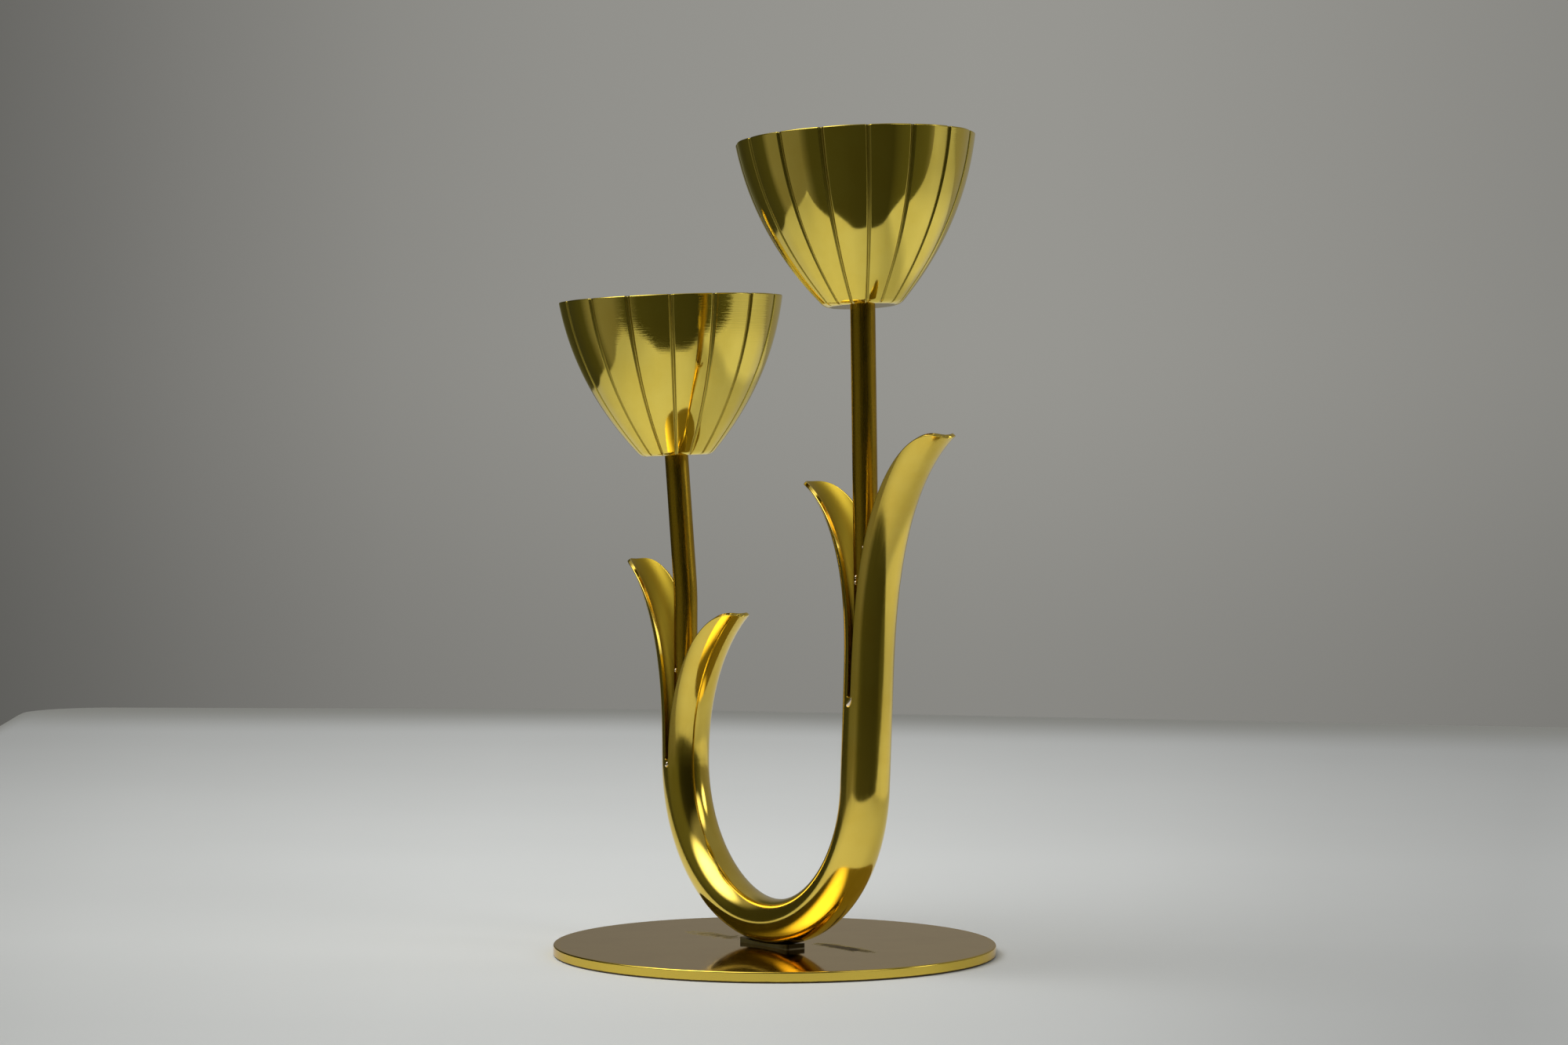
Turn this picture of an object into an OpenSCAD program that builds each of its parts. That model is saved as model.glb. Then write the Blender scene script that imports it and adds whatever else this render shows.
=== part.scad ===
// Two-light candle holder: a slit brass tube bent into a U, its four ends splayed as leaves,
// with two rod stems that carry fluted flower cups. Millimetres, +Z up, origin under the base.

/* [Base plate] */
// Diameter of the round base plate
base_d = 110; // [90:1:140]
// Thickness of the base plate
base_t = 2.7; // [2.4:0.1:5]
// Chamfer along both edges of the base plate
base_edge = 0.3; // [0.1:0.1:0.6]
// Place of the tube's foot on the base, along X
foot_x = 3; // [-10:0.5:10]
// Place of the tube's foot on the base, along Y
foot_y = -3; // [-10:0.5:10]

/* [Foot saddle] */
// Length of the saddle block, along the tube
saddle_l = 20; // [12:0.5:26]
// Width of the saddle block, across the tube
saddle_w = 6; // [5:0.5:8]
// Height of the saddle block before it is hollowed for the tube
saddle_h = 1.6; // [1.2:0.1:2.4]
// Thickness of the saddle under the tube's lowest line
saddle_web = 0.3; // [0.2:0.1:1.5]

/* [Leaf tube] */
// Outer diameter of the tube
tube_d = 12; // [11:0.5:14]
// Wall of the tube
tube_wall = 1; // [0.7:0.1:1.3]
// Radius of the bend, measured at the tube's centreline
bend_r = 37.5; // [32:0.5:45]
// How far the bend flattens the tube at its lowest point
bend_flat = 0.4; // [0:0.1:0.8]
// Straight run of the left leg, from the bend to its slit
left_leg = 0.5; // [0.5:0.5:15]
// Straight run of the right leg, from the bend to its slit
right_leg = 22; // [10:0.5:35]
// Width of the saw cut that splits each leg
slit_w = 1.2; // [0.6:0.1:2]

/* [Leaves] */
// Length of the left outer leaf, from the slit's end to its tip
left_outer_l = 60.2; // [40:0.1:75]
// Length of the left inner leaf
left_inner_l = 49.1; // [35:0.1:60]
// Length of the right outer leaf
right_outer_l = 75.4; // [50:0.1:85]
// Length of the right inner leaf
right_inner_l = 63.6; // [45:0.1:75]
// Width of a leaf's blunt tip
tip_w = 0.8; // [0.5:0.1:1.5]

/* [Stems] */
// Diameter of the rod stems
stem_d = 6; // [5:0.5:7]
// Rise of the left stem, from the slit's end to the cup
left_rise = 77.4; // [60:0.1:95]
// Rise of the right stem, from the slit's end to the cup
right_rise = 93.4; // [75:0.1:115]
// How far a stem reaches into the leg below the slit's end
stem_sink = 4; // [3:0.5:8]
// Sideways reach of the left stem's upper run
left_reach = 4.2; // [2:0.1:6]
// Sideways reach of the right stem
right_reach = 0.8; // [0:0.1:2.5]
// Forward reach of the right stem
right_forward = 1.2; // [0:0.1:2.5]
// Height of the left stem's kink above the slit's end
kink_z = 39; // [25:1:50]
// Radius of the left stem's kink
kink_r = 60; // [30:5:100]

/* [Flower cups] */
// Outer diameter of a cup at its rim
cup_rim_d = 57.6; // [52:0.2:64]
// Outer diameter of a cup at its flat foot
cup_foot_d = 18; // [15:0.5:22]
// Height of a cup
cup_h = 40; // [36:0.5:46]
// How far the cup's side bulges out from the straight line between foot and rim
cup_bulge = 3.1; // [1.5:0.1:5]
// Wall of a cup
cup_wall = 0.9; // [0.7:0.1:1.3]
// Floor of a cup
cup_floor = 1.2; // [0.8:0.1:2]
// Number of pressed grooves round a cup
groove_count = 16; // [8:1:20]
// Radius of a groove's round section
groove_r = 0.9; // [0.6:0.1:1.3]
// Depth of a groove at the rim
groove_rim_depth = 0.32; // [0.1:0.02:0.5]
// Depth of a groove at the foot
groove_foot_depth = 0.08; // [0.02:0.02:0.2]

/* [Candle sockets] */
// Bore of a socket, for a candle shank of 22 mm
socket_bore = 22.4; // [20:0.1:24]
// Wall of a socket
socket_wall = 0.8; // [0.6:0.1:1]
// Height of a socket
socket_h = 20; // [14:0.5:22]
// Radius of a socket's outer bottom corner
socket_round = 2.5; // [1.5:0.1:4]
// Overhang of the lip at a socket's mouth
lip_w = 0.8; // [0.4:0.1:1.5]
// Height of the lip
lip_h = 1; // [0.6:0.1:1.5]
// Diameter of the spacer under a socket
spacer_d = 10; // [9:0.5:14]
// Height of the spacer
spacer_h = 5; // [4:0.5:8]

/* [Screws] */
// Thread diameter of all the screws
screw_d = 4; // [3:0.5:4]
// Head diameter of a cup screw
head_d = 7; // [6:0.5:8]
// Head height of a cup screw
head_h = 1.6; // [1.3:0.1:2.4]
// Depth of a cup screw's thread in the stem
thread_l = 8; // [5:0.5:12]
// Head diameter of the countersunk base screw
base_head_d = 7.4; // [5.5:0.1:7.8]
// Length of the base screw
base_screw_l = 6.4; // [5.5:0.1:9]
// Width of the driver slots
driver_w = 1; // [0.6:0.1:1.4]
// Depth of the driver slots
driver_depth = 0.8; // [0.5:0.1:1.1]

/* [Solder] */
// Height of the solder ring round a stem's foot
solder_h = 3; // [1.5:0.5:3]
// Radius of the solder bead over a slit's end
bead_r = 1; // [0.8:0.1:2]
// Radius of the small bead on a stem's face
spot_r = 0.5; // [0.3:0.1:1]
// Height of the small bead above the left slit's end
left_spot_z = 23; // [18:1:28]
// Height of the small bead above the right slit's end
right_spot_z = 28.5; // [22:0.5:34]

/* [Hidden] */

// Free play of a screw in a plain hole, all round
play = 0.1;
// Free play where metal is threaded or soldered to metal, all round
fit = 0.03;
// Room between the solder ring and the tube's bore, and how deep a bead's middle sits in the tube
solder_play = 0.2;
bead_sink = 0.3;
// How far the left stem's upper run starts inside the kink, and how much thinner it is
kink_lap = 0.4;
kink_step = 0.01;
// How much of a small bead's radius its middle stands off the stem's face
spot_share = 0.2;
// Depth that the base screw's head lies below the underside
head_recess = 0.2;
// Overrun of every cut past the surface that it opens
over = 1;

// Outward lean of the legs above the bend, in degrees
left_lean = 0.5;
right_lean = 3;

// Each leaf's whole turn in degrees, and its shares: how late it turns (a power of the way along
// it), the part of its length before the nose starts, and the power that rounds the nose
left_outer_turn = 52.1;
left_outer_shares = [1.74, 0.15, 3.09];
left_inner_turn = 55.9;
left_inner_shares = [1.07, 0.09, 3.04];
right_outer_turn = 56.3;
right_outer_shares = [1.95, 0.37, 3.33];
right_inner_turn = 67.4;
right_inner_shares = [1.85, 0.14, 2.62];

// Each cup's tilt about X and Y, and the turn of its first groove, in degrees
left_cup_tilt = [1.5, -1.7, 0];
left_groove_turn = -34.7;
right_cup_tilt = [0.6, -3.7, 0];
right_groove_turn = -31.4;

// How much of the bend's flattening the tube gains in width
widen_share = 0.8;
// Steps round the tube, along the bend and along a leaf
round_steps = 24;
bend_steps = 24;
leaf_steps = 16;
// How much of a leaf's length its slit takes to reach its full width
notch_share = 0.015;
// How strongly the leaf's stations gather towards its tip
leaf_step_power = 1.6;

tube_r = tube_d / 2;
stem_r = stem_d / 2;
screw_r = screw_d / 2;
foot_z = base_t + saddle_web + fit;
path_z = foot_z + tube_r - bend_flat;
bend_z = path_z + bend_r;

BRASS = [0.80, 0.64, 0.27];
DARK_BRASS = [0.70, 0.54, 0.22];
STEEL = [0.62, 0.62, 0.60];
TIN = [0.55, 0.55, 0.52];

// Direction along a leg, and outward from it, in the plane of the U.
// side is -1 on the left and 1 on the right, lean is the angle outward from the vertical.
function along(side, lean) = [side * sin(lean), cos(lean)];
function outward(side, lean) = [side * cos(lean), -sin(lean)];

// Places in the plane of the U, as [across from the foot, height]
function bend_place(a) = [bend_r * cos(a), bend_z + bend_r * sin(a)];
function bend_end(side) = bend_place(side > 0 ? -right_lean : left_lean - 180);
function leg_lean(side) = side > 0 ? right_lean : left_lean;
function leg_run(side) = side > 0 ? right_leg : left_leg;
function slit_end(side) = bend_end(side) + leg_run(side) * along(side, leg_lean(side));
function in_space(p, y = 0) = [foot_x + p[0], foot_y + y, p[1]];

// Feet of the stems, the left stem's kink, and the seats of the cups
left_foot = in_space(slit_end(-1) - [0, stem_sink]);
left_kink = in_space(slit_end(-1) + [0, kink_z]);
left_seat = in_space(slit_end(-1) + [-left_reach, left_rise]);
right_foot = in_space(slit_end(1) - [0, stem_sink]);
right_seat = in_space(slit_end(1) + [-right_reach, right_rise], -right_forward);

// Lean of the left stem's upper run, which leaves the kink's arc and ends in the cup's seat
kink_rise = left_rise - kink_z;
kink_width = 2 * kink_r - left_reach;
kink_lean = 2 * atan((kink_rise - sqrt(kink_rise ^ 2 - left_reach * kink_width)) / kink_width);

// The leaf tube is one sheet: a station is [centre, outward, half depth, half width]
function bend_station(a) = [bend_place(a), [cos(a), sin(a)],
    tube_r - bend_flat * sin(a) ^ 2, tube_r + widen_share * bend_flat * sin(a) ^ 2];
function slit_station(side) = [slit_end(side), outward(side, leg_lean(side)), tube_r, tube_r];
ring_path = [slit_station(-1),
    for (i = [0 : bend_steps])
        bend_station(left_lean - 180 + (180 - left_lean - right_lean) * i / bend_steps),
    slit_station(1)];

// A point of the sheet: depth is 0 on the outer skin and the wall on the inner one
function sheet_point(station, angle, depth) =
    let (p = station[0] + (station[2] - depth) * cos(angle) * station[1])
    in_space(p, (station[3] - depth) * sin(angle));

// Leaf stations follow a path whose lean grows with a power of the way along it
function leaf_way(i) = i == 0 ? 0
    : 1 - (1 - notch_share) * max(0, 1 - (i - 1) / (leaf_steps - 1)) ^ leaf_step_power;
function leaf_lean(side, bow, turn, shares, way) = leg_lean(side) + bow * turn * way ^ shares[0];
function leaf_places(side, bow, l, turn, shares) = [
    for (i = 0, p = slit_end(side); i <= leaf_steps;
         step = leaf_way(i + 1) - leaf_way(i),
         mid = (leaf_way(i + 1) + leaf_way(i)) / 2,
         p = p + l * step * along(side, leaf_lean(side, bow, turn, shares, mid)),
         i = i + 1) p];
function leaf_path(side, bow, l, turn, shares) =
    let (places = leaf_places(side, bow, l, turn, shares))
    [for (i = [0 : leaf_steps])
        [places[i], outward(side, leaf_lean(side, bow, turn, shares, leaf_way(i))), tube_r, tube_r]];

// Half angle that a leaf spans: nearly a half tube, then a rounded nose
full_span = 90 - asin(slit_w / tube_d);
tip_span = asin(tip_w / tube_d);
function nose(way, shares) = max(0, (way - shares[1]) / (1 - shares[1]));
function span(way, shares) = max(tip_span, full_span * (1 - nose(way, shares) ^ shares[2]) ^ (1 / shares[2]));

half_steps = round_steps / 2;
function leaf_points(side, bow, l, turn, shares) =
    let (path = leaf_path(side, bow, l, turn, shares))
    [for (k = [1 : leaf_steps], depth = [0, tube_wall], j = [0 : half_steps])
        let (s = span(leaf_way(k), shares), middle = bow > 0 ? 0 : 180)
        sheet_point(path[k], middle + s * (2 * j / half_steps - 1), depth)];

ring_points = [for (station = ring_path, depth = [0, tube_wall], j = [0 : round_steps - 1])
    sheet_point(station, 360 * j / round_steps, depth)];
tube_points = concat(ring_points,
    leaf_points(-1, 1, left_outer_l, left_outer_turn, left_outer_shares),
    leaf_points(-1, -1, left_inner_l, left_inner_turn, left_inner_shares),
    leaf_points(1, 1, right_outer_l, right_outer_turn, right_outer_shares),
    leaf_points(1, -1, right_inner_l, right_inner_turn, right_inner_shares));

// Numbers of the points: skin is 0 outside and 1 inside
function ring_at(k, skin, j) = (2 * k + skin) * round_steps + (j + round_steps) % round_steps;
leaf_size = 2 * leaf_steps * (half_steps + 1);
function leaf_at(leaf, k, skin, j) = k == 0
    ? ring_at(leaf < 2 ? 0 : len(ring_path) - 1, skin,
              j - half_steps / 2 + (leaf % 2 == 0 ? 0 : half_steps))
    : len(ring_points) + leaf * leaf_size + (2 * (k - 1) + skin) * (half_steps + 1) + j;

// Two triangles across four points, turned over where flip is set
function quad(a, b, c, d, flip) = flip ? [[a, c, b], [a, d, c]] : [[a, b, c], [a, c, d]];
ring_faces = [for (k = [0 : len(ring_path) - 2], j = [0 : round_steps - 1], skin = [0, 1])
    each quad(ring_at(k, skin, j), ring_at(k + 1, skin, j),
              ring_at(k + 1, skin, j + 1), ring_at(k, skin, j + 1), skin == 1)];
function leaf_skins(leaf) = [for (k = [0 : leaf_steps - 1], j = [0 : half_steps - 1], skin = [0, 1])
    each quad(leaf_at(leaf, k, skin, j), leaf_at(leaf, k + 1, skin, j),
              leaf_at(leaf, k + 1, skin, j + 1), leaf_at(leaf, k, skin, j + 1),
              (skin == 1) != (leaf < 2))];
function leaf_edges(leaf) = [for (k = [0 : leaf_steps - 1], j = [0, half_steps])
    each quad(leaf_at(leaf, k, 0, j), leaf_at(leaf, k + 1, 0, j),
              leaf_at(leaf, k + 1, 1, j), leaf_at(leaf, k, 1, j), (j == 0) != (leaf < 2))];
function leaf_tip(leaf) = [for (j = [0 : half_steps - 1])
    each quad(leaf_at(leaf, leaf_steps, 0, j), leaf_at(leaf, leaf_steps, 1, j),
              leaf_at(leaf, leaf_steps, 1, j + 1), leaf_at(leaf, leaf_steps, 0, j + 1),
              leaf < 2)];
tube_faces = concat(ring_faces,
    [for (leaf = [0 : 3]) each concat(leaf_skins(leaf), leaf_edges(leaf), leaf_tip(leaf))]);

// Arc of a cup's outer side, through foot and rim
cup_side = [(cup_rim_d - cup_foot_d) / 2, cup_h];
cup_chord = norm(cup_side);
cup_arc_r = (cup_chord ^ 2 / 4 + cup_bulge ^ 2) / (2 * cup_bulge);
cup_arc_x = (cup_rim_d + cup_foot_d) / 4 - (cup_arc_r - cup_bulge) * cup_side[1] / cup_chord;
cup_arc_z = cup_h / 2 + (cup_arc_r - cup_bulge) * cup_side[0] / cup_chord;
cup_foot_a = atan2(-cup_arc_z, cup_foot_d / 2 - cup_arc_x);
cup_rim_a = atan2(cup_h - cup_arc_z, cup_rim_d / 2 - cup_arc_x);

// The groove's arc is shifted so that its depth grows from the foot to the rim
groove_grow = (groove_rim_depth - groove_foot_depth) / sin(cup_rim_a - cup_foot_a);
groove_x = cup_arc_x + groove_grow * sin(cup_foot_a);
groove_z = cup_arc_z - groove_grow * cos(cup_foot_a);
groove_arc_r = cup_arc_r + groove_r - groove_foot_depth;
groove_spare_a = 3;

socket_r = socket_bore / 2 + socket_wall;
socket_z = cup_floor + spacer_h;

module at_left_cup() {
    translate(left_seat) rotate(left_cup_tilt) rotate([0, 0, left_groove_turn]) children();
}

module at_right_cup() {
    translate(right_seat) rotate(right_cup_tilt) rotate([0, 0, right_groove_turn]) children();
}

// A rod with its axis from one point to another
module rod(from, to, r) {
    d = to - from;
    translate(from)
        rotate([0, acos(d[2] / norm(d)), atan2(d[1], d[0])])
            cylinder(h = norm(d), r = r, $fn = 64);
}

// Everything above a stem's end, and the tapped hole for the cup screw
module stem_end_cut() {
    translate([-stem_d, -stem_d, 0]) cube([2 * stem_d, 2 * stem_d, stem_d]);
    translate([0, 0, -thread_l - over])
        cylinder(h = thread_l + 2 * over, r = screw_r + fit, $fn = 48);
}

module base_disc() {
    color(BRASS)
    difference() {
        rotate_extrude($fn = 180)
            polygon([[0, 0], [base_d / 2 - base_edge, 0], [base_d / 2, base_edge],
                     [base_d / 2, base_t - base_edge], [base_d / 2 - base_edge, base_t], [0, base_t]]);
        translate([foot_x, foot_y, 0]) {
            translate([0, 0, -over]) cylinder(h = base_t + 2 * over, r = screw_r + play, $fn = 48);
            base_sink(base_head_d / 2 + play, screw_r + play);
        }
    }
}

// Countersink, with its widest end open to the underside
module base_sink(wide, narrow) {
    translate([0, 0, -over]) cylinder(h = head_recess + over, r = wide, $fn = 48);
    translate([0, 0, head_recess]) cylinder(h = wide - narrow, r1 = wide, r2 = narrow, $fn = 48);
}

module base_screw() {
    cone_h = base_head_d / 2 - screw_r;
    color(STEEL)
    translate([foot_x, foot_y, head_recess])
    difference() {
        union() {
            cylinder(h = cone_h, r1 = base_head_d / 2, r2 = screw_r, $fn = 48);
            cylinder(h = base_screw_l, r = screw_r, $fn = 48);
        }
        translate([-base_head_d, -driver_w / 2, -over])
            cube([2 * base_head_d, driver_w, driver_depth + over]);
    }
}

// The hollow that the tube's lowest stretch lies in: a ring whose section follows the oval there
module foot_hollow() {
    depth_r = tube_r - bend_flat;
    width_r = tube_r + widen_share * bend_flat;
    hollow_r = width_r ^ 2 / depth_r;
    translate([foot_x, foot_y, bend_z]) rotate([90, 0, 0])
        rotate_extrude($fn = 360)
            translate([bend_r + depth_r - hollow_r, 0]) circle(r = hollow_r + fit, $fn = 96);
}

module foot_saddle() {
    color(TIN)
    difference() {
        translate([foot_x - saddle_l / 2, foot_y - saddle_w / 2, base_t])
            cube([saddle_l, saddle_w, saddle_h]);
        foot_hollow();
        translate([foot_x, foot_y, 0]) cylinder(h = foot_z + tube_r, r = screw_r + play, $fn = 48);
    }
}

module leaf_tube() {
    color(BRASS)
    difference() {
        polyhedron(points = tube_points, faces = tube_faces, convexity = 8);
        translate([foot_x, foot_y, 0]) cylinder(h = foot_z + tube_r, r = screw_r + fit, $fn = 48);
    }
}

// The left stem rises from its leg, and above a kink it leans outward. Its upper run is drawn a
// hair thinner than the kink that it starts in.
module left_stem() {
    top_r = stem_r - kink_step;
    rise = [-sin(kink_lean), 0, cos(kink_lean)];
    kink_top = left_kink + kink_r * [cos(kink_lean) - 1, 0, sin(kink_lean)];
    color(DARK_BRASS)
    difference() {
        union() {
            rod(left_foot, left_kink, stem_r);
            translate(left_kink - [kink_r, 0, 0]) rotate([90, 0, 0])
                rotate_extrude(angle = kink_lean, $fn = 180)
                    translate([kink_r, 0]) circle(r = stem_r, $fn = 64);
            rod(kink_top - kink_lap * rise, left_seat + stem_r * rise, top_r);
        }
        at_left_cup() stem_end_cut();
    }
}

module right_stem() {
    spare = (right_seat - right_foot) * stem_r / norm(right_seat - right_foot);
    color(DARK_BRASS)
    difference() {
        rod(right_foot, right_seat + spare, stem_r);
        at_right_cup() stem_end_cut();
    }
}

// Solder of one stem, whose axis runs from foot through next: a ring in the leg's mouth, a bead
// over each end of the slit, and a small bead on the stem's two faces
module solder(side, foot, next, spot_z) {
    end = in_space(slit_end(side));
    spot = foot + (next - foot) * (spot_z + stem_sink) / (next[2] - foot[2]);
    color(TIN)
    difference() {
        union() {
            translate(end) rotate([0, side * leg_lean(side), 0]) {
                translate([0, 0, -solder_h])
                    cylinder(h = solder_h, r = tube_r - tube_wall - solder_play, $fn = 64);
                difference() {
                    for (face = [-1, 1])
                        translate([0, face * (tube_r - bead_sink), 0]) sphere(r = bead_r, $fn = 32);
                    translate([0, 0, -tube_r]) cylinder(h = tube_d, r = tube_r + fit, $fn = 96);
                }
            }
            for (face = [-1, 1])
                translate(spot + [0, face * (stem_r + spot_share * spot_r), 0])
                    sphere(r = spot_r, $fn = 24);
        }
        rod(foot, next, stem_r);
    }
}

module left_solder() {
    solder(-1, left_foot, left_kink, left_spot_z);
}

module right_solder() {
    solder(1, right_foot, right_seat, right_spot_z);
}

// The round body between the cup's side and its axis, shrunk by a wall
module cup_body(shrink, low) {
    rotate_extrude($fn = 180)
        intersection() {
            translate([cup_arc_x, cup_arc_z]) circle(r = cup_arc_r - shrink, $fn = 360);
            translate([0, low]) square([cup_rim_d, cup_h - low + (shrink > 0 ? over : 0)]);
        }
}

module cup() {
    difference() {
        cup_body(0, 0);
        cup_body(cup_wall, cup_floor);
        translate([0, 0, -over]) cylinder(h = cup_floor + 2 * over, r = screw_r + play, $fn = 48);
        for (i = [0 : groove_count - 1])
            rotate([0, 0, 360 * i / groove_count])
                translate([groove_x, 0, groove_z]) rotate([90, 0, 0])
                    rotate([0, 0, cup_foot_a - groove_spare_a])
                        rotate_extrude(angle = cup_rim_a - cup_foot_a + 2 * groove_spare_a, $fn = 360)
                            translate([groove_arc_r, 0]) circle(r = groove_r, $fn = 24);
    }
}

module left_cup() {
    color(BRASS) at_left_cup() cup();
}

module right_cup() {
    color(BRASS) at_right_cup() cup();
}

module spacer() {
    translate([0, 0, cup_floor])
        difference() {
            cylinder(h = spacer_h, r = spacer_d / 2, $fn = 64);
            translate([0, 0, -over]) cylinder(h = spacer_h + 2 * over, r = screw_r + play, $fn = 48);
        }
}

module left_spacer() {
    color(DARK_BRASS) at_left_cup() spacer();
}

module right_spacer() {
    color(DARK_BRASS) at_right_cup() spacer();
}

// Half outline of a socket's outside or inside, with a rounded bottom corner
module socket_half(r, corner, low, high) {
    translate([0, low + corner]) square([r, high - low - corner]);
    translate([0, low]) square([r - corner, corner]);
    translate([r - corner, low + corner]) circle(r = corner, $fn = 64);
}

module socket() {
    translate([0, 0, socket_z])
        rotate_extrude($fn = 180)
            difference() {
                intersection() {
                    union() {
                        socket_half(socket_r, socket_round, 0, socket_h);
                        translate([0, socket_h - lip_h]) square([socket_r + lip_w, lip_h]);
                    }
                    square([socket_r + 2 * lip_w, socket_h]);
                }
                socket_half(socket_bore / 2, socket_round - socket_wall, socket_wall, socket_h + over);
                square([screw_r + play, socket_h]);
            }
}

module left_socket() {
    color(BRASS) at_left_cup() socket();
}

module right_socket() {
    color(BRASS) at_right_cup() socket();
}

// Low cheese-head screw through socket, spacer and cup floor into the stem
module cup_screw() {
    head_z = socket_z + socket_wall;
    difference() {
        union() {
            translate([0, 0, head_z]) cylinder(h = head_h, r = head_d / 2, $fn = 48);
            translate([0, 0, -thread_l]) cylinder(h = thread_l + head_z, r = screw_r, $fn = 48);
        }
        translate([-head_d, -driver_w / 2, head_z + head_h - driver_depth])
            cube([2 * head_d, driver_w, driver_depth + over]);
    }
}

module cup_screws() {
    color(STEEL) {
        at_left_cup() cup_screw();
        at_right_cup() cup_screw();
    }
}

base_disc();
base_screw();
foot_saddle();
leaf_tube();
left_stem();
right_stem();
left_solder();
right_solder();
left_cup();
right_cup();
left_spacer();
right_spacer();
left_socket();
right_socket();
cup_screws();
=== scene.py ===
import math

import bmesh
import bpy
import numpy as np
from mathutils import Matrix


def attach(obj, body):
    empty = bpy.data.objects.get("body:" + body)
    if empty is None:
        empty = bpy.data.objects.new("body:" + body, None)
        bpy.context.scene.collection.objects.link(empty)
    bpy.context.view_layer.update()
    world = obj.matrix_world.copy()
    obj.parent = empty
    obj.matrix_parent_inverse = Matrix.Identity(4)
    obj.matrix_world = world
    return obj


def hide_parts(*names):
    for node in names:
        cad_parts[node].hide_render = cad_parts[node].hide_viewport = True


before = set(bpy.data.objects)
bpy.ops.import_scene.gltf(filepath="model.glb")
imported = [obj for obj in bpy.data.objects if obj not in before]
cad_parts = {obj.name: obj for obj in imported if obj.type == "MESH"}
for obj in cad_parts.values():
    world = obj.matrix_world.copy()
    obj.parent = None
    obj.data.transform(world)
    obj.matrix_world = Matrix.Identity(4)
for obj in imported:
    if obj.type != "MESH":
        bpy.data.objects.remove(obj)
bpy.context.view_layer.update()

# Sizes are in millimetres, as in the CAD source, and meshes are scaled to metres when they are made
MM = 0.001
FOOT_X, FOOT_Y = 3.0, -3.0
BASE_R, BASE_T = 55.0, 2.7
TUBE_R, TUBE_WALL = 6.0, 1.0
BEND_R, BEND_FLAT, WIDEN_SHARE = 37.5, 0.4, 0.8
BEND_Z = 46.13
LEFT_LEAN, RIGHT_LEAN = 0.5, 3.0
LEFT_LEG, RIGHT_LEG = 0.5, 22.0
SLIT_W = 1.2
LEAVES = {  # side, bow, length, turn in degrees, power of the turn, start of the nose, power of the nose
    "left_outer": (-1, 1, 60.2, 52.1, 1.74, 0.15, 3.09),
    "left_inner": (-1, -1, 49.1, 55.9, 1.07, 0.09, 3.04),
    "right_outer": (1, 1, 75.4, 56.3, 1.95, 0.37, 3.33),
    "right_inner": (1, -1, 63.6, 67.4, 1.85, 0.14, 2.62),
}
STEM_R, STEM_SINK = 3.0, 4.0
LEFT_END = np.array([-34.503, -3.0, 46.303])
RIGHT_END = np.array([41.6, -3.0, 66.137])
KINK_UP, KINK_R, KINK_LEAN = 39.0, 60.0, 6.885
LEFT_SEAT = np.array([-38.703, -3.0, 123.703])
RIGHT_SEAT = np.array([40.8, -4.2, 159.537])
LEFT_TILT, RIGHT_TILT = (1.5, -1.7), (0.6, -3.7)
LEFT_TURN, RIGHT_TURN = -34.7, -31.4
CUP_H, CUP_RIM_R, CUP_FOOT_R, CUP_BULGE = 40.0, 28.8, 9.0, 3.1
CUP_WALL, CUP_FLOOR, GROOVES = 0.9, 1.2, 16
SCREW_HOLE = 2.1
SOCKET_Z, SOCKET_H, SOCKET_BORE, SOCKET_WALL = 6.2, 20.0, 11.2, 0.8


def unit(v):
    return v / np.maximum(np.linalg.norm(v, axis=-1, keepdims=True), 1e-12)


# Camera
CAM_AZ, CAM_YAW, CAM_PITCH, CAM_ROLL = 0.93745, 0.00218, 0.01815, 0.00175
CAM_AWAY, CAM_HIGH = 968.16, 124.79
FOCAL_SHARE, SENSOR = 4977.2 / 2000, 36.0

TO_CAM = np.array([math.sin(CAM_AZ), -math.cos(CAM_AZ), 0.0])
RIGHT = np.array([math.cos(CAM_AZ), math.sin(CAM_AZ), 0.0])
UP = np.array([0.0, 0.0, 1.0])


def make_camera():
    ahead = -TO_CAM * math.cos(CAM_YAW) + RIGHT * math.sin(CAM_YAW)
    right = RIGHT * math.cos(CAM_YAW) + TO_CAM * math.sin(CAM_YAW)
    look = ahead * math.cos(CAM_PITCH) - UP * math.sin(CAM_PITCH)
    up = UP * math.cos(CAM_PITCH) + ahead * math.sin(CAM_PITCH)
    x = right * math.cos(CAM_ROLL) + up * math.sin(CAM_ROLL)
    y = up * math.cos(CAM_ROLL) - right * math.sin(CAM_ROLL)
    at = (TO_CAM * CAM_AWAY + UP * CAM_HIGH) * MM
    data = bpy.data.cameras.new("camera")
    data.sensor_width = SENSOR
    data.lens = FOCAL_SHARE * SENSOR
    data.clip_start, data.clip_end = 0.05, 50.0
    camera = bpy.data.objects.new("camera", data)
    camera.matrix_world = Matrix([[x[i], y[i], -look[i], at[i]] for i in range(3)] + [[0, 0, 0, 1]])
    bpy.context.collection.objects.link(camera)
    bpy.context.scene.camera = camera


make_camera()


# Meshes from grids of points. Points closer than this, in mm, are taken as one.
SAME_POINT = 4e-5


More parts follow.
